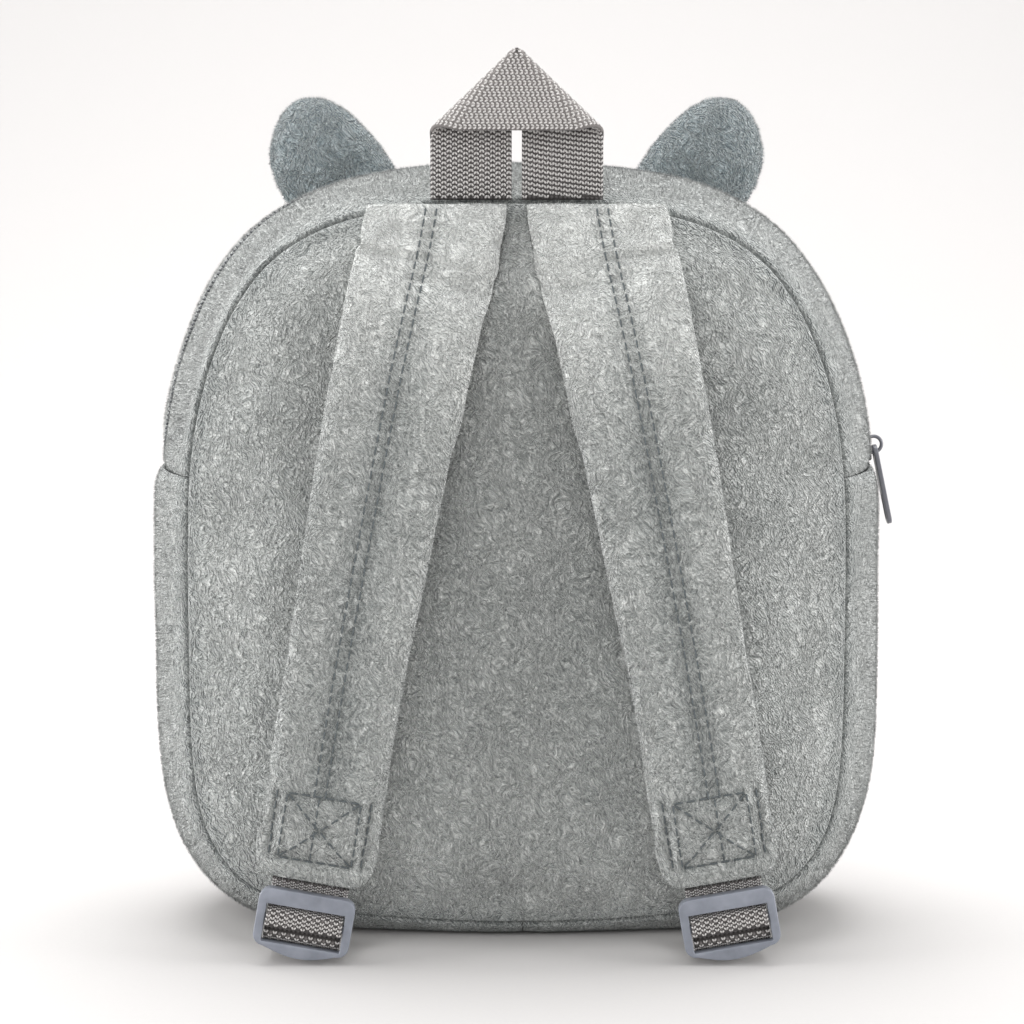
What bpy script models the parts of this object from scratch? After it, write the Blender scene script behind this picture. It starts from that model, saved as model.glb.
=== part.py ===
# Toddler's plush backpack with animal ears, standing on its base.
# Metres, +Z up, the wearer's side (straps) faces -Y, origin on the floor under the bag.
import math

import bmesh
import bpy
from mathutils import Matrix, Vector

# Body, measured on the seam lines
seam_width = 0.211
seam_height = 0.2320
seam_lift = 0.005
seam_depth = 0.078
side_bulge = 0.0136
crown_bulge = 0.0122
panel_bulge = 0.0085
plush_wall = 0.0020
seam_radius = 0.0025
base_seam_offset = 0.0020
cross_seam_height = 0.149
cross_seam_dip = 0.0014
cross_seam_reach = 0.007
clearance = 0.0003

# Zip
zip_opening = 0.0064
tape_width = 0.022
tape_wall = 0.0008
tape_seat = 0.0008
teeth_width = 0.0046
teeth_stand = 0.0004
slider_body_length = 0.0105
slider_body_width = 0.0056
slider_body_stand = 0.0006
slider_rise = 0.0065
bail_radius = 0.0026
bail_wire = 0.0012
bail_stand = 0.0019
pull_length = 0.0270
pull_width = 0.0062
pull_thickness = 0.0016
pull_eye = 0.0028
pull_rim = 0.0011
pull_slot_length = 0.0085
pull_slot_width = 0.0030
pull_lean = math.radians(12.0)

# Ears
ear_spread = 0.0608
ear_width = 0.0448
ear_height = 0.0402
ear_thickness = 0.0130
ear_base_thickness = 0.0030
ear_base_rise = 0.0034
ear_full_height = 0.35
ear_hub = (0.03, 0.42)

# Webbing and carry handle
webbing_width = 0.0255
webbing_wall = 0.0013
handle_gap = 0.0032
handle_rise = 0.0184
handle_seat = 0.0004
handle_fold_lift = 0.0032
handle_tight_fold = 0.0009
handle_open_fold = 0.0037

# Shoulder straps
strap_width = 0.0415
strap_thickness = 0.0075
strap_top_spread = 0.0250
strap_end_spread = 0.0640
strap_end_height = 0.0265
strap_stand_off = 0.0310
strap_groove_depth = 0.0007
strap_groove_half = 0.0035
strap_groove_shift = 0.0015
strap_groove_start = 0.03
strap_groove_end = 0.93
strap_level_share = 0.12
strap_slope_step = 0.03
strap_long_span = 0.09

# Ladder sliders on the strap webbing
strap_webbing_width = 0.0240
ladder_play = 0.0004
ladder_height = 0.0185
ladder_lip = 0.0025
ladder_thickness = 0.0042
ladder_side = 0.0027
ladder_top_bar = 0.0050
ladder_lip_bar = 0.0015
ladder_upper_slot = 0.0034
ladder_bar = 0.0026
ladder_bar_thickness = 0.0016
ladder_corner = 0.0036
webbing_bare = 0.0036

around_count = 52
half_turn = math.pi

# Back seam outline from the bottom centre up one side to the crown:
# (share of half the seam width, share of the seam height)
outline_rows = [
    (0.000, 0.000),
    (0.300, 0.005),
    (0.560, 0.016),
    (0.740, 0.034),
    (0.860, 0.068),
    (0.935, 0.115),
    (0.975, 0.170),
    (0.995, 0.250),
    (1.000, 0.380),
    (1.000, 0.520),
    (0.993, 0.620),
    (0.968, 0.705),
    (0.920, 0.785),
    (0.840, 0.863),
    (0.725, 0.926),
    (0.560, 0.969),
    (0.340, 0.992),
    (0.000, 1.000),
]

# Pillow rings of a panel: (share of the way out to the seam)
panel_rings = [0.985, 0.950, 0.880, 0.740, 0.420]

# Ear outline from its inner base over the tip to its outer base:
# (share of the ear width across, share of the ear height up)
ear_rows = [
    (-0.390, 0.020),
    (-0.470, 0.250),
    (-0.420, 0.420),
    (-0.230, 0.700),
    (-0.030, 0.900),
    (0.160, 0.985),
    (0.330, 0.945),
    (0.460, 0.780),
    (0.520, 0.540),
    (0.490, 0.280),
    (0.400, 0.040),
    (0.310, -0.270),
    (0.150, -0.130),
    (-0.120, -0.030),
]

# Strap centre line and section, top to bottom end:
# (share of its height, share of its spread, share of its stand-off, share of its width,
#  share of its thickness)
strap_rows = [
    (0.000, 0.000, 0.200, 1.050, 0.480),
    (0.020, 0.014, 0.235, 1.070, 0.700),
    (0.070, 0.062, 0.350, 1.060, 0.920),
    (0.150, 0.160, 0.520, 1.040, 1.000),
    (0.250, 0.275, 0.680, 1.020, 1.000),
    (0.370, 0.400, 0.810, 1.000, 1.000),
    (0.500, 0.530, 0.900, 1.000, 1.000),
    (0.640, 0.670, 0.955, 0.985, 1.000),
    (0.780, 0.800, 0.985, 0.960, 1.000),
    (0.880, 0.890, 1.000, 0.940, 0.960),
    (0.945, 0.948, 1.000, 0.930, 0.860),
    (0.982, 0.983, 1.000, 0.870, 0.700),
    (1.000, 1.000, 1.000, 0.720, 0.440),
]

# Half section of a strap's upper face: (share of half the width, share of half the thickness)
strap_face = [
    (1.000, 0.000),
    (0.975, 0.520),
    (0.880, 0.820),
    (0.640, 0.970),
    (0.300, 1.000),
]


def clear_scene():
    for thing in list(bpy.data.objects):
        bpy.data.objects.remove(thing, do_unlink=True)


def make_material(name, colour, roughness, metallic=0.0):
    material = bpy.data.materials.new(name)
    material.use_nodes = True
    material.diffuse_color = (*colour, 1.0)
    shader = material.node_tree.nodes["Principled BSDF"]
    shader.inputs["Base Color"].default_value = (*colour, 1.0)
    shader.inputs["Roughness"].default_value = roughness
    shader.inputs["Metallic"].default_value = metallic
    return material


def add_object(name, mesh, material):
    thing = bpy.data.objects.new(name, mesh)
    bpy.context.scene.collection.objects.link(thing)
    mesh.materials.append(material)
    return thing


def finish_mesh(name, bm, material, outward=True):
    if outward:
        bmesh.ops.recalc_face_normals(bm, faces=bm.faces[:])
    mesh = bpy.data.meshes.new(name)
    bm.to_mesh(mesh)
    bm.free()
    mesh.shade_smooth()
    return add_object(name, mesh, material)


def curve_through(points, closed, steps):
    """Centripetal curve through hand-chosen points, with steps points a span."""
    count = len(points)
    spans = count if closed else count - 1
    path = []
    for span in range(spans):
        corner = []
        for offset in (-1, 0, 1, 2):
            index = span + offset
            if closed:
                corner.append(points[index % count])
            elif index < 0:
                corner.append(points[0] * 2.0 - points[1])
            elif index >= count:
                corner.append(points[-1] * 2.0 - points[-2])
            else:
                corner.append(points[index])
        knot = [0.0]
        for first, second in zip(corner, corner[1:]):
            knot.append(knot[-1] + max((second - first).length, 1e-9) ** 0.5)
        for step in range(steps):
            t = knot[1] + (knot[2] - knot[1]) * step / steps
            line = [
                corner[k].lerp(corner[k + 1], (t - knot[k]) / (knot[k + 1] - knot[k]))
                for k in range(3)
            ]
            bend = [
                line[k].lerp(line[k + 1], (t - knot[k]) / (knot[k + 2] - knot[k]))
                for k in range(2)
            ]
            path.append(bend[0].lerp(bend[1], (t - knot[1]) / (knot[2] - knot[1])))
    if not closed:
        path.append(points[-1].copy())
    return path


def row_at(rows, share):
    """Row of a table read smoothly at a share of its first column."""
    for low, high in zip(rows, rows[1:]):
        if share <= high[0]:
            break
    t = min(max((share - low[0]) / (high[0] - low[0]), 0.0), 1.0)
    return [a + (b - a) * t for a, b in zip(low, high)]


def seam_outline():
    """Dense closed seam outline in the XZ plane, and its length so far at each point."""
    half = [Vector((across * seam_width / 2, 0.0, seam_lift + up * seam_height))
            for across, up in outline_rows]
    mirrored = [Vector((-p.x, 0.0, p.z)) for p in half[-2:0:-1]]
    path = curve_through(half + mirrored, True, 24)
    path.append(path[0].copy())
    length = [0.0]
    for first, second in zip(path, path[1:]):
        length.append(length[-1] + (second - first).length)
    return path, length


seam_path, seam_run = seam_outline()


def seam_at(run):
    """Point and outward normal of the seam outline at a length from the bottom centre."""
    total = seam_run[-1]
    run = run % total
    low = 0
    high = len(seam_run) - 1
    while high - low > 1:
        middle = (low + high) // 2
        if seam_run[middle] <= run:
            low = middle
        else:
            high = middle
    t = (run - seam_run[low]) / (seam_run[low + 1] - seam_run[low])
    point = seam_path[low].lerp(seam_path[low + 1], t)
    count = len(seam_path) - 1
    before = seam_path[(low - 3) % count]
    after = seam_path[(low + 4) % count]
    along = (after - before).normalized()
    return point, Vector((along.z, 0.0, -along.x))


def run_at_height(height):
    """Length along the +X side of the seam outline at which it reaches a height."""
    for point, run in zip(seam_path, seam_run):
        if point.z >= height:
            return run
    return seam_run[-1] / 2


def rest_on_floor(point):
    """Cloth that would hang below the floor lies flat on it."""
    soft = seam_radius
    if point.z <= -soft:
        point.z = 0.0
    elif point.z < soft:
        point.z = (point.z + soft) ** 2 / (4 * soft)
    return point


def panel_bend():
    """Panel edge turned in at the seam: (outward, forward) from the seam corner."""
    reach = seam_radius + clearance / 2
    centre_out = -(seam_radius + reach) * math.sqrt(0.5)
    centre_forward = (seam_radius - reach) * math.sqrt(0.5)
    return [
        (centre_out + seam_radius * math.cos(math.radians(angle)),
         centre_forward + seam_radius * math.sin(math.radians(angle)))
        for angle in (45, 12, -22, -56)
    ]


def gusset_bend():
    """Gusset edge turned in at the seam, from the groove out to the start of its arc."""
    reach = seam_radius + clearance / 2
    centre_out = (reach - seam_radius) * math.sqrt(0.5)
    centre_forward = (seam_radius + reach) * math.sqrt(0.5)
    return [
        (centre_out + seam_radius * math.cos(math.radians(angle)),
         centre_forward + seam_radius * math.sin(math.radians(angle)))
        for angle in (-135, -103, -71, -39)
    ]


def gusset_height(bulge, forward):
    """Outward stand of the gusset over the seam line at a depth behind the back seam."""
    start_out, start_forward = gusset_bend()[-1]
    half = seam_depth / 2 - start_forward
    share = (forward - seam_depth / 2) / half
    return start_out + (bulge - start_out) * (1.0 - abs(share) ** 2.2)


def gusset_point(run, out, forward):
    point, normal = seam_at(run)
    place = point + normal * out
    place.y = forward - seam_depth / 2
    return rest_on_floor(place)


def sheet_object(name, rows, closed_rows, centre, material):
    """Wall of plush from rows of points on its outer face, thickened inwards."""
    bm = bmesh.new()
    grid = [[bm.verts.new(point) for point in row] for row in rows]
    for first, second in zip(grid, grid[1:]):
        count = len(first)
        for i in range(count if closed_rows else count - 1):
            j = (i + 1) % count
            bm.faces.new((first[i], first[j], second[j], second[i]))
    if centre is not None:
        hub = bm.verts.new(centre)
        last = grid[-1]
        for i, vert in enumerate(last):
            bm.faces.new((vert, last[(i + 1) % len(last)], hub))
    thing = finish_mesh(name, bm, material, outward=False)
    wall = thing.modifiers.new("wall", "SOLIDIFY")
    wall.thickness = plush_wall
    wall.offset = -1.0
    wall.use_even_offset = True
    return thing


def build_panel(name, facing, material):
    """Pillow panel; facing is -1 for the back panel and +1 for the front one."""
    bend = panel_bend()
    half_depth = seam_depth / 2
    centre = Vector((0.0, 0.0, seam_lift + seam_height / 2))
    step = seam_run[-1] / around_count
    rows = []
    for out, forward in bend:
        row = []
        for i in range(around_count):
            point, normal = seam_at(i * step)
            place = point + normal * out
            place.y = facing * (half_depth - forward)
            row.append(place)
        rows.append(row)
    rim_y = rows[-1][0].y
    for share in panel_rings:
        rise = panel_bulge * (0.6 * (1 - share ** 8) + 0.4 * (1 - share ** 2))
        row = []
        for place in rows[len(bend) - 1]:
            ring = centre.lerp(place, share)
            ring.y = rim_y + facing * rise
            row.append(ring)
        rows.append(row)
    centre.y = rim_y + facing * panel_bulge
    if facing > 0:
        rows = [row[::-1] for row in rows]
    return sheet_object(name, rows, True, centre, material)


def strip_runs(start, end):
    """Places of a strip's rows along the seam outline, closer together at its ends."""
    ends = [0.0, 0.25, 0.6, 1.0]
    near = [start + cross_seam_reach * e for e in ends]
    far = [end - cross_seam_reach * e for e in reversed(ends)]
    pitch = seam_run[-1] / around_count
    count = max(2, round((far[0] - near[-1]) / pitch))
    between = [near[-1] + (far[0] - near[-1]) * k / count for k in range(1, count)]
    return near + between + far


def end_dip(run, start, end):
    """Cloth drawn in towards the cross seam at either end of a strip."""
    reach = min(run - start, end - run)
    if reach >= cross_seam_reach:
        return 0.0
    return cross_seam_dip * (1.0 - max(reach, 0.0) / cross_seam_reach) ** 2


def build_strip(name, start, end, bulge, low, high, material):
    """Gusset strip between two depths; a depth of None goes right into that seam's groove."""
    bend = gusset_bend()
    depths = []
    first = bend[-1][1] if low is None else low
    last = seam_depth - bend[-1][1] if high is None else high
    pieces = 8 if low is None and high is None else 4
    for k in range(pieces + 1):
        depths.append(first + (last - first) * k / pieces)
    rows = []
    for run in strip_runs(start, end):
        dip = end_dip(run, start, end)
        row = []
        if low is None:
            row += [gusset_point(run, out, forward) for out, forward in bend[:-1]]
        row += [gusset_point(run, gusset_height(bulge - dip, d), d) for d in depths]
        if high is None:
            row += [gusset_point(run, out, seam_depth - forward)
                    for out, forward in reversed(bend[:-1])]
        rows.append(row)
    return sheet_object(name, rows, False, None, material)


def loft(name, rings, material):
    """Closed solid through rings of points, capped at both ends."""
    bm = bmesh.new()
    loops = [[bm.verts.new(point) for point in ring] for ring in rings]
    for first, second in zip(loops, loops[1:]):
        count = len(first)
        for i in range(count):
            j = (i + 1) % count
            bm.faces.new((first[i], first[j], second[j], second[i]))
    bm.faces.new(loops[0][::-1])
    bm.faces.new(loops[-1])
    return finish_mesh(name, bm, material)


def zip_ends():
    start = run_at_height(cross_seam_height)
    return start + clearance / 2, seam_run[-1] - start - clearance / 2


def build_zip_strip(name, start, end, depth_half, base, top, material):
    """Strip along the crown of the gusset, at stands below and above its surface."""
    pitch = seam_run[-1] / around_count
    count = max(2, round((end - start) / pitch))
    zip_start, zip_end = zip_ends()
    depths = [seam_depth / 2 + depth_half * share for share in (-1.0, 0.0, 1.0)]
    rings = []
    for k in range(count + 1):
        run = start + (end - start) * k / count
        bulge = crown_bulge - end_dip(run, zip_start, zip_end)
        lower = [gusset_point(run, gusset_height(bulge, d) + base, d) for d in depths]
        upper = [gusset_point(run, gusset_height(bulge, d) + top, d) for d in reversed(depths)]
        rings.append(lower + upper)
    return loft(name, rings, material)


def box_mesh(name, size, place, material):
    bm = bmesh.new()
    bmesh.ops.create_cube(bm, size=1.0)
    bmesh.ops.scale(bm, vec=size, verts=bm.verts[:])
    bmesh.ops.transform(bm, matrix=place, verts=bm.verts[:])
    return finish_mesh(name, bm, material)


def hide_cutter(thing):
    thing.hide_render = True
    thing.display_type = "WIRE"
    return thing


def join_shape(thing, other, operation):
    step = thing.modifiers.new(other.name, "BOOLEAN")
    step.operation = operation
    step.solver = "EXACT"
    step.object = hide_cutter(other)


def wire_rings(points, side_vector, radius, sides):
    """Round wire rings along a plane path; side_vector is the plane's normal."""
    rings = []
    for i, point in enumerate(points):
        before = points[max(i - 1, 0)]
        after = points[min(i + 1, len(points) - 1)]
        along = (after - before).normalized()
        up = side_vector.cross(along)
        ring = []
        for k in range(sides):
            angle = 2 * half_turn * k / sides
            ring.append(point + (side_vector * math.cos(angle) + up * math.sin(angle)) * radius)
        rings.append(ring)
    return rings


def zip_slider_run():
    return run_at_height(cross_seam_height + slider_rise)


def zip_slider_frame():
    """Axes at the slider: centre on the gusset crown, outward, up along the zip, forward."""
    point, outward = seam_at(zip_slider_run())
    forward = Vector((0.0, 1.0, 0.0))
    along = forward.cross(outward) * -1.0
    crown = point + outward * crown_bulge
    crown.y = 0.0
    return crown, outward, along, forward


def build_zipper_slider(material):
    crown, outward, along, forward = zip_slider_frame()
    turn = Matrix((outward, forward, along)).transposed().to_4x4()
    under = plush_wall - clearance
    height = under + slider_body_stand
    centre = crown + outward * (slider_body_stand - height / 2)
    body = box_mesh(
        "zipper_slider",
        (height, slider_body_width, slider_body_length),
        Matrix.Translation(centre) @ turn,
        material,
    )
    pivot = crown + outward * bail_stand
    arch = []
    leg = bail_stand - slider_body_stand + bail_wire / 2
    arch.append(pivot - along * bail_radius - outward * leg)
    for k in range(9):
        angle = half_turn * k / 8
        arch.append(pivot - along * bail_radius * math.cos(angle)
                    + outward * bail_radius * math.sin(angle))
    arch.append(pivot + along * bail_radius - outward * leg)
    bail = loft("bail_shape", wire_rings(arch, forward, bail_wire / 2, 8), material)
    join_shape(body, bail, "UNION")
    return body


def pull_outline(width, top, bottom, steps):
    """Rounded tab outline in (across, down) coordinates."""
    half = width / 2
    points = []
    for k in range(steps + 1):
        angle = half_turn * k / steps
        points.append((half * math.cos(angle), top + half - half * math.sin(angle)))
    for k in range(steps + 1):
        angle = half_turn * k / steps
        points.append((-half * math.cos(angle), bottom - half + half * math.sin(angle)))
    return points


def prism(name, outline, thickness, material):
    """Plate standing on edge: outline (across, down) becomes (Y, -Z), thickness along X."""
    bm = bmesh.new()
    front = [bm.verts.new((thickness / 2, across, -down)) for across, down in outline]
    back = [bm.verts.new((-thickness / 2, across, -down)) for across, down in outline]
    bm.faces.new(front)
    bm.faces.new(back[::-1])
    for i in range(len(front)):
        j = (i + 1) % len(front)
        bm.faces.new((front[i], back[i], back[j], front[j]))
    return finish_mesh(name, bm, material)


def build_zipper_pull(material):
    """Pull tab whose eye follows the bail's arch about the hinge axis."""
    crown, outward = zip_slider_frame()[:2]
    hinge = bpy.data.objects.new("pull_hinge", None)
    bpy.context.scene.collection.objects.link(hinge)
    hinge.location = crown + outward * bail_stand
    hinge.rotation_euler = (0.0, -pull_lean, 0.0)
    eye_top = bail_radius - pull_eye / 2 - pull_rim
    tab = prism("zipper_pull", pull_outline(pull_width, eye_top, pull_length, 8),
                pull_thickness, material)
    cut_depth = pull_thickness * 3
    eye_outline = [
        (pull_eye / 2 * math.cos(2 * half_turn * k / 12),
         bail_radius + pull_eye / 2 * math.sin(2 * half_turn * k / 12))
        for k in range(12)
    ]
    eye = prism("pull_eye_cut", eye_outline, cut_depth, material)
    slot_end = pull_length - (pull_width - pull_slot_width) / 2
    slot = prism(
        "pull_slot_cut",
        pull_outline(pull_slot_width, slot_end - pull_slot_length, slot_end, 5),
        cut_depth,
        material,
    )
    for thing in (tab, eye, slot):
        thing.parent = hinge
    join_shape(tab, eye, "DIFFERENCE")
    join_shape(tab, slot, "DIFFERENCE")
    return tab


def build_ear(name, side, material):
    """Padded ear standing in the front seam, leaning out; side is -1 or +1."""
    base_point = None
    for point in seam_path[:len(seam_path) // 2]:
        if point.z > cross_seam_height and point.x <= ear_spread:
            base_point = point
            break
    base = Vector((ear_spread, seam_depth / 2 + seam_radius / 2, base_point.z + ear_base_rise))
    flat = [Vector((across * ear_width, 0.0, up * ear_height)) for across, up in ear_rows]
    rim = curve_through(flat, True, 2)
    hub = Vector((ear_hub[0] * ear_width, 0.0, ear_hub[1] * ear_height))
    bm = bmesh.new()
    grids = []
    for face in (-1, 1):
        grid = []
        for share in (1.0, 0.93, 0.76, 0.48):
            ring = []
            for point in rim:
                place = hub.lerp(point, share)
                rise = min(max(place.z / ear_height, 0.0) / ear_full_height, 1.0)
                half = (ear_base_thickness + (ear_thickness - ear_base_thickness) * rise) / 2
                puff = half * (1.0 - share ** 3.0) ** 0.5
                ring.append((place.x * side + base.x * side,
                             base.y + face * puff,
                             place.z + base.z))
            grid.append(ring)
        grids.append(grid)
    rim_verts = [bm.verts.new(point) for point in grids[0][0]]
    for face, grid in zip((-1, 1), grids):
        loops = [rim_verts] + [[bm.verts.new(point) for point in ring] for ring in grid[1:]]
        for first, second in zip(loops, loops[1:]):
            for i in range(len(first)):
                j = (i + 1) % len(first)
                bm.faces.new((first[i], first[j], second[j], second[i]))
        top = bm.verts.new((base.x * side + hub.x * side,
                            base.y + face * ear_thickness / 2,
                            base.z + hub.z))
        last = loops[-1]
        for i, vert in enumerate(last):
            bm.faces.new((vert, last[(i + 1) % len(last)], top))
    return finish_mesh(name, bm, material)


def fold_radius(share):
    return handle_open_fold + (handle_tight_fold - handle_open_fold) * share


def fold_point(share, turn):
    """Ribbon point of the left half: share across from its outer edge, turn is how far
    round its 45 degree fold the point has gone."""
    outer = -(handle_gap / 2 + webbing_width)
    past = Vector((-1.0, 0.0, 1.0)).normalized()
    radius = fold_radius(share)
    across = share * webbing_width
    done = turn / half_turn
    place = Vector((outer + across, 0.0, handle_rise + across))
    place.x += radius * half_turn * math.sqrt(0.5) * done
    place.z += handle_fold_lift * done
    place += past * (radius * math.sin(turn))
    place.y = -radius * (1.0 - math.cos(turn))
    return place


def handle_rows():
    """Rows across the ribbon from one sewn end over the folds to the other."""
    shares = [k / 5 for k in range(6)]
    outer = -(handle_gap / 2 + webbing_width)
    rows = []
    for lift in (0.0, 0.35, 0.7):
        rows.append([Vector((outer + share * webbing_width, 0.0,
                             (handle_rise + share * webbing_width) * lift)) for share in shares])
    turns = 8
    for k in range(turns + 1):
        rows.append([fold_point(share, half_turn * k / turns) for share in shares])
    last = rows[-1]
    for lift in (0.34, 0.67, 1.0):
        rows.append([Vector((point.x * (1.0 - lift), point.y, point.z)) for point in last])
    mirrored = [[Vector((-point.x, point.y, point.z)) for point in row] for row in rows[-2::-1]]
    return rows + mirrored


def build_handle(material):
    rows = handle_rows()
    base = Vector((0.0, -seam_depth / 2 - handle_seat,
                   seam_lift + seam_height + clearance))
    bm = bmesh.new()
    grid = [[bm.verts.new(point + base) for point in row] for row in rows]
    for first, second in zip(grid, grid[1:]):
        for i in range(len(first) - 1):
            bm.faces.new((first[i], first[i + 1], second[i + 1], second[i]))
    thing = finish_mesh("carry_handle", bm, material, outward=False)
    wall = thing.modifiers.new("webbing", "SOLIDIFY")
    wall.thickness = webbing_wall
    wall.offset = 0.0
    wall.use_even_offset = True
    return thing


def strap_frame(share):
    """Centre, width and thickness directions and the section sizes at a share down a strap."""
    top_height = seam_lift + seam_height - seam_radius / 2

    def centre(at):
        row = row_at(strap_rows, min(max(at, 0.0), 1.0))
        return Vector((
            strap_top_spread + (strap_end_spread - strap_top_spread) * row[1],
            -seam_depth / 2 - strap_stand_off * row[2],
            top_height + (strap_end_height - top_height) * row[0],
        ))

    here = centre(share)
    along = (centre(share + strap_slope_step) - centre(share - strap_slope_step)).normalized()
    slope = Vector((along.x, 0.0, along.z)).normalized()
    across = Vector((-slope.z, 0.0, slope.x))
    level = max(0.0, 1.0 - share / strap_level_share)
    across = across.lerp(Vector((1.0, 0.0, 0.0)), level).normalized()
    outward = along.cross(across).normalized()
    if outward.y > 0:
        outward.negate()
    row = row_at(strap_rows, share)
    return here, across, outward, along, row[3] * strap_width, row[4] * strap_thickness


def strap_section(width, thickness, groove):
    """Closed section (across, out): rounded edges, a stitched valley along the outer face."""
    upper = [(a * width / 2, b * thickness / 2) for a, b in strap_face]
    other = [(-a, b) for a, b in reversed(upper)]
    valley = [
        (strap_groove_shift + strap_groove_half, thickness / 2),
        (strap_groove_shift, thickness / 2 - groove),
        (strap_groove_shift - strap_groove_half, thickness / 2),
    ]
    under = upper[1::2]
    lower = [(-a, -b) for a, b in under] + [(a, -b) for a, b in reversed(under)]
    return upper + valley + other + lower


def strap_shares():
    shares = []
    for low, high in zip(strap_rows, strap_rows[1:]):
        parts = 2 if high[0] - low[0] > strap_long_span else 1
        shares += [low[0] + (high[0] - low[0]) * k / parts for k in range(parts)]
    return shares + [1.0]


def build_strap(name, side, material):
    rings = []
    for share in strap_shares():
        centre, across, outward, along, width, thickness = strap_frame(share)
        grooved = strap_groove_start < share < strap_groove_end
        groove = strap_groove_depth if grooved else 0.0
        ring = []
        for a, b in strap_section(width, thickness, groove):
            place = centre + across * a + outward * b
            ring.append(Vector((place.x * side, place.y, place.z)))
        rings.append(ring)
    return loft(name, rings, material)


def strap_end_frame():
    """Point at the middle of the strap's lower end, with across, down and outward axes."""
    centre, across, outward, along, width, thickness = strap_frame(1.0)
    down = Vector((along.x, 0.0, along.z)).normalized()
    return centre, across, down, Vector((0.0, -1.0, 0.0))


def ladder_window_half():
    return strap_webbing_width / 2 + ladder_play


def ladder_centre_drop():
    return clearance + webbing_bare + ladder_height / 2


def ladder_levels():
    """Edges of the bars and slots, measured up from the slider's centre."""
    top = ladder_height / 2
    upper_high = top - ladder_top_bar
    upper_low = upper_high - ladder_upper_slot
    lower_high = upper_low - ladder_bar
    lower_low = -top + ladder_lip_bar
    return top, upper_high, upper_low, lower_high, lower_low


def webbing_route():
    """(up, out) points of the webbing in the slider's frame, from the strap end downwards."""
    top, upper_high, upper_low, lower_high, lower_low = ladder_levels()
    stand = clearance + webbing_wall / 2
    round_edge = stand * math.sqrt(0.5)
    back = -ladder_thickness / 2
    bar = ladder_bar_thickness / 2
    strap_end = ladder_height / 2 + webbing_bare - clearance
    dive = (lower_high - lower_low) * 0.30
    return [
        (strap_end, (back - stand) * 0.35),
        (top + round_edge, back - round_edge),
        (top - stand, back - stand),
        (upper_high + stand, back - stand),
        (upper_high - round_edge, back - round_edge),
        (upper_low + round_edge, bar + round_edge),
        ((upper_low + lower_high) / 2, bar + stand),
        (lower_high - round_edge, bar + round_edge),
        (lower_high - dive, -bar * 0.5),
        (lower_low + round_edge + dive * 0.9, back * 0.55),
        (lower_low + round_edge, back - round_edge),
        (lower_low - stand, back - stand),
    ]


def build_webbing(name, side, material):
    """Webbing through the slider and back to the bottom corner seam of the bag."""
    end, across, down, outward = strap_end_frame()
    centre = end + down * ladder_centre_drop()
    route = [centre - down * up + outward * out for up, out in webbing_route()]
    seam_point = min(seam_path[:len(seam_path) // 4], key=lambda p: abs(p.x - centre.x))
    anchor = Vector((centre.x, -seam_depth / 2 - seam_radius - webbing_wall,
                     seam_point.z - seam_radius - webbing_wall / 2))
    floor = webbing_wall + abs(across.z) * strap_webbing_width / 2
    low = Vector((centre.x, (route[-1].y * 0.55 + anchor.y * 0.45), floor))
    route += [low, anchor]
    path = curve_through(route, False, 2)
    rings = []
    for i, point in enumerate(path):
        before = path[max(i - 1, 0)]
        after = path[min(i + 1, len(path) - 1)]
        along = (after - before).normalized()
        normal = along.cross(across).normalized()
        ring = []
        for a, b in ((-0.5, -0.5), (0.5, -0.5), (0.5, 0.5), (-0.5, 0.5)):
            place = point + across * (a * strap_webbing_width) + normal * (b * webbing_wall)
            ring.append(Vector((place.x * side, place.y, place.z)))
        rings.append(ring)
    return loft(name, rings, material)


def ladder_outline():
    """Slider outline (across, up): round upper corners, a bowed lower lip."""
    half = ladder_window_half() + ladder_side
    top = ladder_height / 2
    points = []
    for k in range(5):
        angle = half_turn / 2 * k / 4
        points.append((half - ladder_corner + ladder_corner * math.sin(angle),
                       top - ladder_corner + ladder_corner * math.cos(angle)))
    for k in range(5):
        angle = half_turn / 2 * k / 4
        points.append((half - ladder_corner + ladder_corner * math.cos(angle),
                       -top + ladder_corner - ladder_corner * math.sin(angle)))
    for k in range(1, 4):
        across = (half - ladder_corner) * (1.0 - 2.0 * k / 4)
        points.append((across, -top - ladder_lip * math.sin(half_turn * k / 4)))
    other = [(-a, b) for a, b in reversed(points[:10])]
    return points + other


def ladder_plate(name, outline, back, front, place, material):
    bm = bmesh.new()
    rear = [bm.verts.new(place @ Vector((a, back, b))) for a, b in outline]
    fore = [bm.verts.new(place @ Vector((a, front, b))) for a, b in outline]
    bm.faces.new(rear)
    bm.faces.new(fore[::-1])
    for i in range(len(rear)):
        j = (i + 1) % len(rear)
        bm.faces.new((rear[i], fore[i], fore[j], rear[j]))
    return finish_mesh(name, bm, material)


def build_ladder(name, side, material):
    """Three-bar slider: a frame round one window, crossed by a thinner middle bar."""
    end, across, down, outward = strap_end_frame()
    centre = end + down * ladder_centre_drop()
    centre.x *= side
    tilt = math.atan2(across.z, across.x) * side
    place = Matrix.Translation(centre) @ Matrix.Rotation(-tilt, 4, "Y")
    half = ladder_thickness / 2
    plate = ladder_plate(name, ladder_outline(), -half, half, place, material)
    top, upper_high, upper_low, lower_high, lower_low = ladder_levels()
    inner = ladder_window_half()
    opening = [(-inner, lower_low), (inner, lower_low), (inner, upper_high), (-inner, upper_high)]
    cutter = ladder_plate(f"{name}_window", opening, -half * 2, half * 2, place, material)
    join_shape(plate, cutter, "DIFFERENCE")
    reach = inner + ladder_side / 2
    middle_bar = [(-reach, lower_high), (reach, lower_high), (reach, upper_low), (-reach, upper_low)]
    bar = ladder_plate(f"{name}_bar", middle_bar, -ladder_bar_thickness / 2,
                       ladder_bar_thickness / 2, place, material)
    join_shape(plate, bar, "UNION")
    return plate


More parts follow.
